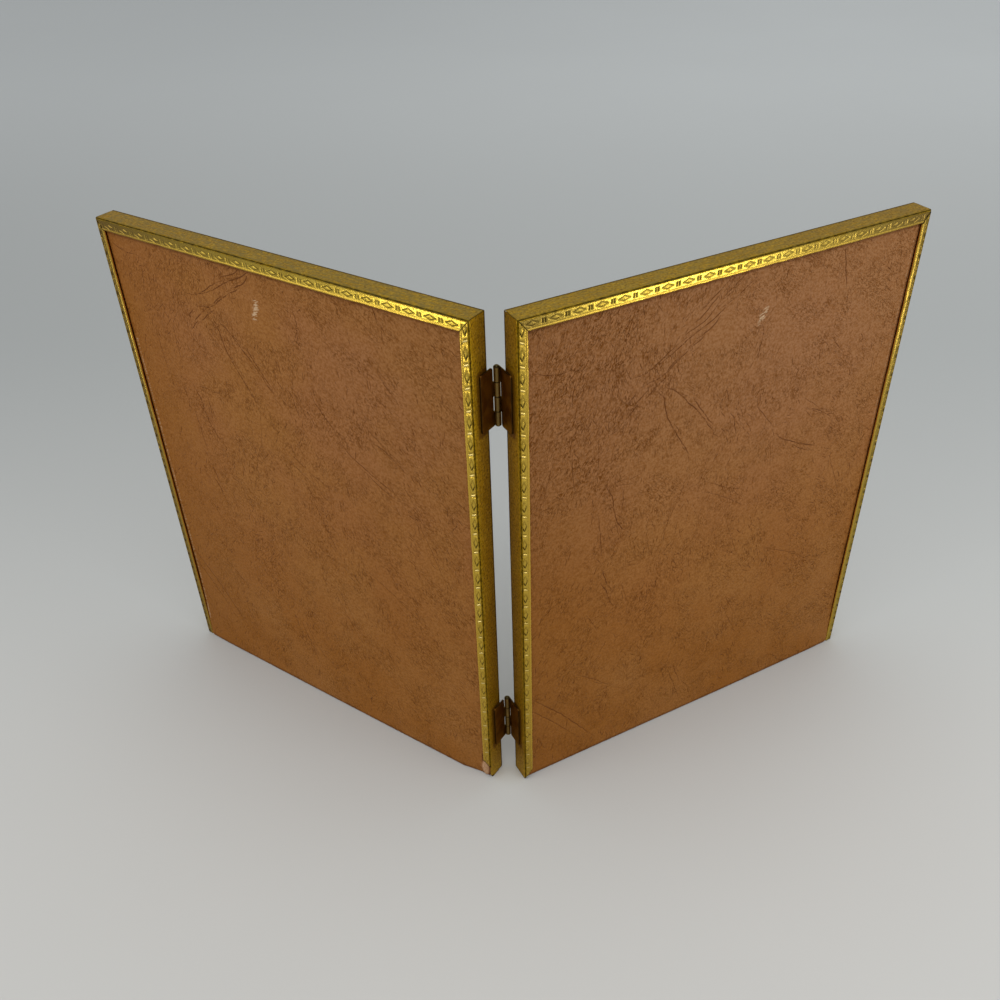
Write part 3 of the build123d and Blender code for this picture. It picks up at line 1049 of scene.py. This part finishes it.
# Leatherette backs
# Creases as seen from behind on the right leaf: how deep, then the points that each runs through
CREASES = (
    (0.9, (53, 218.4), (58, 218.6), (61, 219.5), (65, 222), (70, 225.5), (74.5, 228.2)),
    (1, (60, 219.8), (65, 221), (70, 223.3), (75.5, 226.5), (80, 229.5), (83.5, 231)),
    (1, (81.5, 230.4), (88, 233), (91, 234.5), (95.5, 237.5), (97.5, 239.4)),
    (0.8, (76.5, 230.6), (80, 232.4), (84, 233.8), (88, 235.6), (90, 237.5), (94, 242.5)),
    (0.9, (82, 235.6), (86, 238), (88.5, 240.5), (91, 243), (93.6, 245.4)),
    (0.9, (85, 240.3), (88, 243.2), (90, 244.5), (93, 246.8), (97, 250.2)),
    (1, (95.2, 243.2), (98, 245.6), (101, 247.5), (104, 250), (107, 252.4)),
    (0.8, (99.5, 246), (103, 249.2), (106.5, 251.8)),
    (0.9, (103.5, 243.2), (107.5, 245.5), (110.2, 247.7)),
    (1, (60, 213.4), (63, 214.5), (66, 214.3), (69.5, 216), (74, 219.7), (78, 222.5), (81.5, 225)),
    (0.9, (80, 224.2), (85, 226.5), (87.8, 228.4)),
    (0.8, (67, 214.6), (70.5, 217.6), (73.5, 220.6), (76.5, 222.4)),
    (1, (81, 225.2), (84, 227.9), (88, 229.5), (91, 231.2), (93, 233), (95.2, 235.8)),
    (1, (65.5, 208.6), (68, 206.5), (70, 204), (70.6, 199), (72, 194.5), (74.5, 189.5), (76.6, 186.3)),
    (0.9, (76, 186.9), (79, 181.8), (81.5, 178.2), (84, 173.5), (86.2, 170.4)),
    (1, (70.5, 209), (74, 207), (76.5, 205), (79.5, 202), (83.5, 197), (87, 194), (91, 188.5)),
    (0.8, (90.5, 189.2), (93.5, 185.5), (95.5, 182), (98.2, 179)),
    (0.9, (85, 199.5), (87.5, 196.5), (89.5, 193), (92, 190), (95, 185.5), (97.6, 182.4)),
    (0.8, (51, 205.8), (53.5, 209.5), (55.6, 211.2)),
    (0.9, (59.5, 206.4), (62, 208.4), (65.2, 211.2), (70, 214.6)),
    (0.9, (54.6, 205), (57.5, 208), (60.8, 210.5)),
    (0.8, (51.3, 200), (54.5, 203.5), (57.2, 206.2)),
    (0.7, (103, 200.4), (104, 196), (105, 190.8)),
    (0.8, (106.6, 185.8), (109.5, 182), (110.5, 177.5), (111.7, 171.8)),
    (0.6, (110, 185), (113.2, 179.8)),
    (0.7, (36.5, 208.8), (31.8, 200.4)),
    (0.6, (42.9, 208.4), (38.8, 204.4)),
    (0.6, (46.2, 220.5), (42.5, 213.1)),
    (0.5, (31.5, 208.4), (26.8, 204.4)),
    (0.6, (37.8, 199), (37.8, 188.3), (38.5, 177.6)),
    (0.6, (24.8, 193.7), (25.8, 177.6), (27.5, 169)),
    (0.7, (26.5, 225.8), (24.4, 217.8), (24.8, 213.8)),
    (0.8, (8.7, 233.9), (12.7, 231.2), (18.8, 230.2), (23.4, 230.5)),
    (0.6, (8, 251.3), (10.7, 246.6)),
    (0.6, (15, 247.3), (16, 242.6)),
    (0.6, (16, 190.3), (12.7, 177.6)),
    (0.9, (158.5, 251.9), (160.9, 242.4), (163.9, 231)),
    (0.6, (138.5, 251.9), (142.6, 249.2)),
    (0.7, (160.9, 208.6), (164, 204), (168.3, 199.9)),
    (0.6, (150, 180.2), (160.9, 171.5)),
    (0.8, (118.4, 226.2), (119.6, 220), (118.5, 212.5), (117.4, 210)),
    (0.9, (42.2, 169.5), (46.2, 161.4), (47.2, 154.1), (49.2, 146.7), (52.9, 140.7), (56.3, 142)),
    (0.8, (44.5, 158.8), (46.9, 154.7)),
    (0.7, (51.2, 165.5), (51.9, 158.1), (51.2, 150.7)),
    (0.6, (46.2, 168.8), (53.6, 169.1)),
    (0.7, (35.5, 164.8), (36.5, 159.4)),
    (0.7, (38.8, 155.4), (40.2, 146), (41.2, 135.3), (42.2, 128.6)),
    (0.7, (38.8, 130), (41.9, 125.9)),
    (0.9, (41.9, 122.6), (44.5, 115.2), (45.5, 111.2)),
    (0.9, (41.9, 113.9), (44.9, 108.5), (46.9, 102.5), (48.2, 98.5)),
    (0.6, (53.6, 109.2), (54.9, 103.2)),
    (0.7, (34.5, 97.8), (37, 92.6), (39.5, 88.4)),
    (0.6, (79, 144), (77, 134), (75.7, 124.6)),
    (0.5, (54.9, 119.9), (62.3, 116.6)),
    (0.9, (136.2, 165.4), (139.2, 161.3), (146.7, 157.2), (154.1, 153.2), (164.9, 148.5)),
    (0.7, (147.3, 155.2), (156.1, 149.1), (163, 146.5)),
    (0.8, (151.4, 174.1), (160.9, 170.1), (171, 162.7)),
    (0.6, (153, 173), (162, 168.4)),
    (0.7, (121.4, 188.2), (123, 182.5), (127.5, 177.5), (134, 169)),
    (0.8, (5, 56), (22, 36), (40, 11)),
    (0.7, (3, 50), (18, 32), (30, 16)),
    (0.7, (86, 36), (91.5, 21), (96, 8)),
    (0.6, (89, 38), (95, 22)),
    (0.6, (112, 125), (117, 112), (124, 95)),
    (0.6, (116, 70), (121, 59), (128, 45)),
    (0.6, (119, 72), (126, 58)),
    (0.6, (30, 60), (41, 51), (52, 40)),
    (0.6, (140, 95), (156, 86), (172, 75)),
    (0.6, (175, 138), (181, 125), (187, 110)),
    (0.6, (97, 146), (107, 140), (117, 133)),
    (0.6, (100, 150), (111, 143)),
    (0.5, (76, 130), (79, 140), (84, 150)),
)
left_roll_shift = np.array((-2.5, 14.0))

# Fine branches that start beside each crease and turn off it, by radians
crease_seed = 41
branch_count = 2
branch_start_spread = 1.5
branch_turn_spread = 0.35
branch_lengths = (4, 10)
branch_shares = (0.35, 0.6)

# Fine grain in clusters, more of them in one place, with its leans and turns in degrees
grain_seed = 43
grain_cluster_count = 200
dense_cluster_count = 60
dense_cluster_middle = (38, 220)
dense_cluster_spread = (24, 22)
cluster_spread = (3.5, 5.0)
cluster_lines = (4, 12)
cluster_lean_spread = 16
lean_at_side = 65
lean_across = 0.3
grain_turn_spread = 13
grain_lengths = (1.6, 5.5)
grain_shares = (0.3, 0.85)


def smooth_run(points, step):
    """Points evenly spaced down a smooth curve through a few given points."""
    points = np.asarray(points, dtype=float)
    if len(points) == 2:
        points = np.array((points[0], points.mean(axis=0), points[1]))
    share = np.concatenate(((0,), np.cumsum(np.linalg.norm(np.diff(points, axis=0), axis=1))))
    fine = np.linspace(0, share[-1], max(4, round(share[-1] / step)))
    corners = np.column_stack([np.interp(fine, share, points[:, axis]) for axis in (0, 1)])
    window = np.ones(5) / 5
    padded = np.pad(corners, ((2, 2), (0, 0)), mode="edge")
    return np.column_stack([np.convolve(padded[:, axis], window, mode="valid") for axis in (0, 1)])


def crease_line(points, depth, half_width, seed):
    """Points down one crease, three across: its bottom and both edges. The third number is its depth."""
    middle = smooth_run(points, crease_step)
    along = np.gradient(middle, axis=0)
    along = along / np.maximum(np.linalg.norm(along, axis=1), 1e-6)[:, None]
    side = np.column_stack((-along[:, 1], along[:, 0]))
    share = np.linspace(0, 1, len(middle))
    wander = ripple(share * len(middle), seed, waves=3, shortest=4, longest=14)
    middle = middle + crease_wander * wander[:, None] * side
    taper = np.sin(math.pi * np.clip(share, 0.03, 0.97)) ** 0.5
    rows = [np.column_stack((middle, depth * taper))]
    for edge in (-1, 1):
        rows.append(np.column_stack((middle + edge * half_width * side, 0 * taper)))
    return np.concatenate(rows)


def fine_line(root, turn, length, share):
    """A short fine line from its root: its ends, its depth as a share of a crease's, its half width."""
    tip = root + length * np.array((math.cos(turn), math.sin(turn)))
    return np.array((root, tip)), crease_depth * share, grain_half_width


def grain_lines(size):
    """Short fine lines of the paper's grain, in clusters that lean the other way across the back."""
    draw = np.random.default_rng(grain_seed)
    lines = []
    middles = draw.uniform((0, -20), size, (grain_cluster_count, 2))
    dense = draw.normal(dense_cluster_middle, dense_cluster_spread, (dense_cluster_count, 2))
    for middle in np.concatenate((middles, dense)):
        lean = draw.normal(lean_at_side + lean_across * middle[0], cluster_lean_spread)
        for _ in range(draw.integers(*cluster_lines)):
            root = middle + draw.normal(0, cluster_spread)
            turn = math.radians(lean + draw.normal(0, grain_turn_spread))
            lines.append(fine_line(root, turn, draw.uniform(*grain_lengths), draw.uniform(*grain_shares)))
    return lines


def crease_points(shift, size):
    """Every crease of one back: read ones, their branches and the grain, from one roll for both backs."""
    draw = np.random.default_rng(crease_seed)
    lines = []
    for strength, *points in CREASES:
        points = np.array(points)
        lines.append((points, strength * crease_depth, strength * crease_half_width))
        run = points[-1] - points[0]
        for _ in range(branch_count):
            start = points[draw.integers(len(points))]
            root = start + draw.uniform(-branch_start_spread, branch_start_spread, 2)
            turn = math.atan2(run[1], run[0]) + draw.uniform(-branch_turn_spread, branch_turn_spread)
            lines.append(fine_line(root, turn, draw.uniform(*branch_lengths), draw.uniform(*branch_shares)))
    lines += grain_lines(size)
    return np.concatenate([
        crease_line(points + shift, deep, half_width, number)
        for number, (points, deep, half_width) in enumerate(lines)
    ])


def spaced(points, size):
    """Drops points that share a small square with an earlier one."""
    cells = np.floor(points[:, :2] / size).astype(int)
    _, first = np.unique(cells, axis=0, return_index=True)
    return points[np.sort(first)]


def near_any(points, others, reach):
    """True for each point that has one of the others within about reach of it."""
    taken = set(map(tuple, np.floor(others[:, :2] / reach).astype(int).tolist()))
    cells = np.floor(points[:, :2] / reach).astype(int)
    around = [(across, up) for across in (-1, 0, 1) for up in (-1, 0, 1)]
    return np.array([any((x + dx, y + dy) in taken for dx, dy in around) for x, y in cells.tolist()])


def panel_surface(low, high, creases):
    """Triangulates the back of a panel over its edge, its creases and an even spread of points."""
    edge = rounded_loop(low, high, cover_edge_round, panel_corner_radius)
    inner_low, inner_high = low + panel_margin, high - panel_margin
    heights = np.arange(inner_low[1], inner_high[1], panel_point_step * math.sqrt(0.75))
    across = np.arange(inner_low[0], inner_high[0], panel_point_step)
    spread = np.array([
        (out + (row % 2) * panel_point_step / 2, height)
        for row, height in enumerate(heights) for out in across
    ])
    inside = np.all((creases[:, :2] > inner_low) & (creases[:, :2] < inner_high), axis=1)
    creases = spaced(creases[inside], least_crease_gap)
    spread = spread[np.all((spread > inner_low) & (spread < inner_high), axis=1)]
    spread = spread[~near_any(spread, creases, crease_clearance)]
    points = np.concatenate((edge, creases[:, :2], spread))
    depth = np.concatenate((np.zeros(len(edge)), creases[:, 2], np.zeros(len(spread))))
    outline = list(range(len(edge)))
    found = delaunay_2d_cdt([Vector(point) for point in points], [], [outline], 1, 1e-6, True)
    source = np.array([origin[0] for origin in found[3]])
    return points[source], depth[source], [tuple(face) for face in found[2]], source, len(edge)


# How far each panel's foot bows out to the rear, at shares of its width from its hinge side
PANEL_BOW = {
    "left": ((0.0, 0.03, 0.08, 0.5, 0.93, 1.0), (0.0, 0.0, 1.7, 2.1, 2.2, 1.9)),
    "right": ((0.0, 0.03, 0.2, 0.6, 0.93, 1.0), (0.0, 0.0, 0.3, 1.4, 1.8, 1.6)),
}


def panel_bow(side, plan, low, high):
    """How far a panel's points bow out to the rear: most along the foot, and nothing higher up."""
    along_foot = np.interp((plan[:, 0] - low[0]) / (high[0] - low[0]), *PANEL_BOW[side])
    return along_foot * np.clip(1 - (plan[:, 1] - low[1]) / panel_bow_height, 0, 1) ** 2


# Worn bulge of the left panel's hinge-side foot, bare where the lip is broken off
NUB_MIDDLE = (4.1, 5.2)
NUB_HALF_SIZE = (2.0, 5.2)
NUB_SPANS = ((1.85, 6.5, 0.4), (1.25, 13.5, 0.5))
nub_rise = 0.9


def nub_distance(out, height):
    """How far a point lies from the middle of the bulge, 1 at its edge."""
    return np.hypot((out - NUB_MIDDLE[0]) / NUB_HALF_SIZE[0], (height - NUB_MIDDLE[1]) / NUB_HALF_SIZE[1])


def nub_points():
    """Flat points close together over the bulge, so that its edge comes out round."""
    across, up = np.meshgrid(*(np.arange(*span) for span in NUB_SPANS))
    return np.column_stack((across.ravel(), up.ravel(), np.zeros(across.size)))


def cover_rings(rear, front):
    """Loops from a cover's rear edge round its turn-in and back inside: inset, depth, share of the bow."""
    arc_inset = cover_edge_round * (1 - math.sin(math.radians(45)))
    inside = front - cover_thickness
    return (
        (arc_inset, rear + arc_inset, 1),
        (0, rear + cover_edge_round, 1),
        (0, rear + cover_side_step, 0.8),
        (0, front - turn_in_edge_round, 0),
        (turn_in_edge_round, front, 0),
        (turn_in_width, front, 0),
        (turn_in_width, inside, 0),
        (cover_thickness, inside, 0),
        (cover_thickness, rear + cover_thickness, 0),
    )


def back_looks(leaf, local, crease, low):
    """The place of each point as seen from behind, how dark its painted shade is in a crease, along the
    foot and round the bulge, and how far it is worn.
    """
    out, depth, height = local.T
    wear = np.zeros(len(out))
    # A painted shadow along the back's foot
    foot_shadow_line = 0.9 * bump_at(height - low[1], foot_shadow_reach)
    if leaf.mirrored:
        from_nub = nub_distance(out, height)
        wear = soft_inside(from_nub - 1, 0.08)
        by_nub = (height < broken_lip_height + 6) & (out < NUB_MIDDLE[0] + NUB_HALF_SIZE[0])
        # A painted shadow round the bulge, where the lip's broken end shades it
        nub_shadow = 0.95 * soft_inside(1.1 - from_nub, 0.05) * by_nub
        foot_shadow_line = np.maximum(foot_shadow_line * (from_nub > 1), nub_shadow)
    view_out = leaf.width - out if leaf.mirrored else out
    view = np.column_stack((view_out, height, 0.2 * depth))
    return {"view": view, "crease": np.maximum(crease, foot_shadow_line), "wear": wear}


def make_back(leaf):
    extent_low, extent_high = leaf.own("back_cover")
    low, high = extent_low[[0, 2]], extent_high[[0, 2]]
    rear, front = extent_low[1], extent_high[1]
    shift = left_roll_shift if leaf.mirrored else np.zeros(2)
    creases = crease_points(shift, (leaf.width, leaf.height))
    if leaf.mirrored:
        creases[:, 0] = leaf.width - creases[:, 0]
        creases = np.concatenate((creases, nub_points()))
    plan, sunk, faces, source, edge_count = panel_surface(low, high, creases)
    swell = panel_swell * ripple(plan[:, 0] + 0.6 * plan[:, 1], seed=61, waves=5, shortest=25, longest=90)
    depth = rear + sunk - panel_bow(leaf.side, plan, low, high) + np.clip(swell, 0, 1)
    if leaf.mirrored:
        depth = depth - nub_rise * np.sqrt(np.clip(1 - nub_distance(plan[:, 0], plan[:, 1]), 0, 1))
    local = [np.column_stack((plan[:, 0], depth, plan[:, 1]))]

    by_source = {origin: number for number, origin in enumerate(source.tolist())}
    rim = [by_source[number] for number in range(edge_count)]
    total = len(plan)
    for inset, ring_depth, bowed in cover_rings(rear, front):
        loop = rounded_loop(low, high, inset, panel_corner_radius)
        loop_depth = ring_depth - bowed * panel_bow(leaf.side, loop, low, high)
        local.append(np.column_stack((loop[:, 0], loop_depth, loop[:, 1])))
        ring = list(range(total, total + edge_count))
        for number in range(edge_count):
            after = (number + 1) % edge_count
            faces.append((rim[number], ring[number], ring[after], rim[after]))
        rim = ring
        total += edge_count
    faces.append(tuple(rim))
    local = np.concatenate(local)
    out_share = (local[:, 0] - low[0]) / (high[0] - low[0])
    local[:, 0] += outer_reach * out_share * np.clip(local[:, 2] / panel_bow_height - 0.2, 0, 1)
    crease = np.zeros(total)
    # Painted shade in the creases, darker the deeper each is sunk
    crease[:len(plan)] = np.clip(1.4 * sunk / crease_depth, 0, 1)
    make_piece(
        f"{leaf.side}_leatherette_back", leaf, local, faces, materials[f"{leaf.side}_leatherette"],
        back_looks(leaf, local, crease, low), f"{leaf.side}_back", f"{leaf.side}_back_cover",
    )


# Blank photo paper, a little cockled, behind the glass
def make_paper(leaf):
    low, high = leaf.own("photo_sheet")
    rows, columns = paper_grid
    across, up = np.meshgrid(np.linspace(low[0], high[0], columns), np.linspace(low[2], high[2], rows))
    slanting = ((across + 0.4 * up, 91), (up - 0.3 * across, 92))
    waves = sum(ripple(place, seed, waves=4, shortest=60, longest=160) for place, seed in slanting)
    slack = high[1] - low[1] - paper_thickness - 2 * paper_clearance
    back = low[1] + paper_clearance + slack * np.clip(0.5 + 0.25 * waves, 0, 1)
    sheets = [np.stack((across, back + lift, up), axis=-1).reshape(-1, 3) for lift in (0, paper_thickness)]
    count = rows * columns
    quads = grid_faces(rows, columns, closed=False)
    faces = quads + [tuple(count + corner for corner in face) for face in quads]
    number = np.arange(count).reshape(rows, columns)
    rim = np.concatenate((number[0], number[1:, -1], number[-1, -2::-1], number[-2:0:-1, 0])).tolist()
    for first, after in zip(rim, rim[1:] + rim[:1]):
        faces.append((first, after, count + after, count + first))
    make_piece(
        f"{leaf.side}_photo_paper", leaf, np.concatenate(sheets), faces, materials["paper"],
        {}, f"{leaf.side}_leaf", f"{leaf.side}_photo_sheet",
    )


for leaf in leaves.values():
    make_back(leaf)
    make_paper(leaf)


# Hinges
OWN_KNUCKLES = {"left": (0, 2), "right": (1, 3)}


def strip_section(half_width, half_height):
    """A rounded rectangle for a strip in section: across its thickness and up."""
    arc = edge_bevel * on_circle(np.radians(np.linspace(0, 90, 4)))
    core = np.array((half_width - edge_bevel, half_height - edge_bevel))
    near_end = np.array(((half_width, half_height - 2 * knuckle_gap),))
    rising = np.concatenate((near_end, arc + core))
    quarters = ((1, 1), (-1, 1), (-1, -1), (1, -1))
    corners = [rising if number % 2 == 0 else rising[::-1] for number in range(4)]
    return np.concatenate([corner * np.array(sign) for corner, sign in zip(corners, quarters)])


def flat_plate(plan_low, plan_high):
    """Loops from the face of a plate, over its bevelled edge, to the wall that it is soldered to."""
    face = -plate_thickness
    stack = (
        (plate_corner_radius, face), (plate_face_inset, face), (edge_bevel, face),
        (edge_bevel / 3, face + edge_bevel / 3), (0, face + edge_bevel), (0, -plate_clearance),
    )
    loops = []
    for inset, out in stack:
        loop = rounded_loop(plan_low, plan_high, inset, plate_corner_radius)
        loops.append(np.column_stack((np.full(len(loop), out), loop)))
    return loops


def knuckle_path(leaf, start):
    """The middle of a strip from its plate to its curled end: out, depth and how far it has turned."""
    straight = np.linspace(start, leaf.axis[1], 5)[:-1]
    path = [(-plate_thickness / 2, depth, 0.0) for depth in straight]
    curl_radius = knuckle_radius - plate_thickness / 2
    for turn in np.radians(np.linspace(0, curl_angle, curl_points)):
        out, depth = leaf.axis[:2] + curl_radius * np.array((math.cos(turn), math.sin(turn)))
        path.append((out, depth, turn))
    return path


def plate_looks(leaf, local, low, high, pitch):
    """Which points lie on the barrel, and how near each is to the plate's edge or to the next knuckle."""
    from_axis = np.hypot(local[:, 0] - leaf.axis[0], local[:, 1] - leaf.axis[1])
    from_joint = np.abs((local[:, 2] - low[2] + knuckle_gap / 2 + pitch / 2) % pitch - pitch / 2)
    from_end = np.minimum(local[:, 2] - low[2], high[2] - local[:, 2])
    from_edge = np.minimum(local[:, 1] - low[1], from_end)
    on_plate = from_axis > knuckle_radius + 2 * barrel_softness
    return {
        "barrel": soft_inside(from_axis - knuckle_radius - barrel_softness, barrel_softness),
        # Painted shade along the plate's edges and between the knuckles
        "edge": bump_at(np.where(on_plate, from_edge, from_joint), edge_shade_reach),
    }


def make_hinge_plate(leaf, hinge):
    """A flat plate, and the strips that run from it and curl round the pin."""
    node = f"{hinge}_{leaf.side}_plate"
    low, high = leaf.extent(node)
    flat_front = leaf.axis[1] - knuckle_radius - plate_notch_clearance
    points = flat_plate(low[1:], np.array((flat_front, high[2])))
    faces = tube_faces(len(points), len(points[0]))
    total = sum(map(len, points))
    pitch = (high[2] - low[2] + knuckle_gap) / knuckle_count
    half_length = (pitch - knuckle_gap) / 2
    path = knuckle_path(leaf, flat_front - plate_corner_radius)
    across, up = strip_section(plate_thickness / 2, half_length).T
    for knuckle in OWN_KNUCKLES[leaf.side]:
        middle = low[2] + knuckle * pitch + half_length
        for out, depth, turn in path:
            points.append(np.column_stack((
                out + across * math.cos(turn), depth + across * math.sin(turn), middle + up,
            )))
        faces.extend(tube_faces(len(path), len(across), total))
        total += len(path) * len(across)
    local = np.concatenate(points)
    make_piece(
        f"{node}_rolled", leaf, local, faces, materials["hinge_plate"],
        plate_looks(leaf, local, low, high, pitch), f"{leaf.side}_leaf", node,
    )


def make_pin(leaf, hinge):
    node = f"{hinge}_pin"
    low, high = leaf.extent(node)
    head_base = high[2] - pin_head_height
    turns = np.radians(np.linspace(0, 90, 8))[:-1]
    upper = [
        (pin_head_radius * math.cos(turn), head_base + pin_head_height * math.sin(turn)) for turn in turns
    ]
    lower = [(radius, low[2] + high[2] - height) for radius, height in reversed(upper)]
    shank = [(pin_radius, low[2] + pin_head_height), (pin_radius, head_base)]
    profile = [(pin_tip_radius, low[2]), *lower, *shank, *upper, (pin_tip_radius, high[2])]
    circle = on_circle(np.linspace(0, 2 * math.pi, pin_sides, endpoint=False))
    local = np.concatenate([
        np.column_stack((leaf.axis[:2] + radius * circle, np.full(pin_sides, height)))
        for radius, height in profile
    ])
    attributes = {"barrel": np.zeros(len(local)), "edge": np.zeros(len(local))}
    make_piece(
        f"{node}_domed", leaf, local, tube_faces(len(profile), pin_sides), materials["hinge_pin"],
        attributes, "left_leaf", node,
    )


for hinge in ("upper_hinge", "lower_hinge"):
    for leaf in leaves.values():
        make_hinge_plate(leaf, hinge)
    make_pin(leaves["left"], hinge)


# Finish of the nodes that keep their own shape
NODE_FINISH = {"glass": "glass", "filler_card": "card", "back_board": "board", "corner_keys": "steel"}
for side in SIDES:
    for node, finish in NODE_FINISH.items():
        slots = frame["nodes"][f"{side}_{node}"].data.materials
        slots.clear()
        slots.append(materials[finish])


# Floor, light and camera, in metres
floor_reach = 6.0
world_colour = (0.95, 0.97, 1.0, 1.0)
world_strength = 0.68
lamp_colour = (1.0, 0.98, 0.95)

# Round soft lamps: where each stands, what it faces, its width and its watts
LAMPS = {
    "overhead": ((0.0, -0.25, 1.5), (0.0, 0.0, 0.1), 1.6, 6.5),
    "left_side": ((-1.1, -0.55, 0.45), (0.0, -0.05, 0.15), 0.8, 2.5),
    "right_side": ((1.1, -0.55, 0.45), (0.0, -0.05, 0.15), 0.8, 2.5),
    "left_low": ((-0.45, -0.215, 0.03), (-0.45, -0.215, 1.0), 0.11, 0.28),
    "right_low": ((0.55, -0.2, 0.03), (0.55, -0.2, 1.0), 0.17, 0.75),
}


def floor_material():
    """Pale floor with painted shading: a little darker away from the camera and lighter to the right."""
    s = Shader("pale_floor")
    place = s.metres()
    across, away = s.part(place, "X"), s.part(place, "Y")
    faint = s.ramp(s.noise(place, 3.0), 0.3, 0.7, 0.0, 0.06)
    colour = s.mix(s.ramp(away, -0.22, 0.45), (0.60, 0.60, 0.575), (0.415, 0.43, 0.42))
    colour = s.mix(s.ramp(away, 0.4, 1.4), colour, (0.545, 0.565, 0.555))
    colour = s.mix(1.0, colour, s.ramp(across, -0.8, 0.8, 0.92, 1.13), "MULTIPLY")
    colour = s.mix(faint, colour, (0.45, 0.45, 0.44))
    return s.finish(Base_Color=colour, Roughness=0.75, Specular_IOR_Level=0.15)


def make_floor():
    corners = [(floor_reach * x, floor_reach * y, 0) for x, y in ((-1, -1), (1, -1), (1, 1), (-1, 1))]
    mesh = bpy.data.meshes.new("floor")
    mesh.from_pydata(corners, [], [(0, 1, 2, 3)])
    mesh.materials.append(floor_material())
    add_object("floor", mesh)


def make_lamp(name, location, target, width, watts):
    """A lamp that the camera does not see."""
    lamp = bpy.data.lights.new(name, "AREA")
    lamp.shape = "DISK"
    lamp.size = width
    lamp.energy = watts
    lamp.color = lamp_colour
    holder = add_object(name, lamp)
    holder.location = location
    holder.rotation_euler = (Vector(target) - Vector(location)).to_track_quat("-Z", "Y").to_euler()
    holder.visible_camera = False


def make_world():
    world = bpy.data.worlds.new("studio")
    world.use_nodes = True
    background = world.node_tree.nodes["Background"]
    background.inputs["Color"].default_value = world_colour
    background.inputs["Strength"].default_value = world_strength
    bpy.context.scene.world = world


def make_camera():
    data = bpy.data.cameras.new("camera")
    data.lens = camera_lens
    data.sensor_width = camera_sensor
    data.clip_start = camera_clip_start
    camera = add_object("camera", data)
    camera.location = camera_location
    camera.rotation_euler = [math.radians(turn) for turn in camera_turn_degrees]
    bpy.context.scene.camera = camera


make_floor()
for name, settings in LAMPS.items():
    make_lamp(name, *settings)
make_world()
make_camera()
bpy.context.scene.view_settings.view_transform = "Standard"
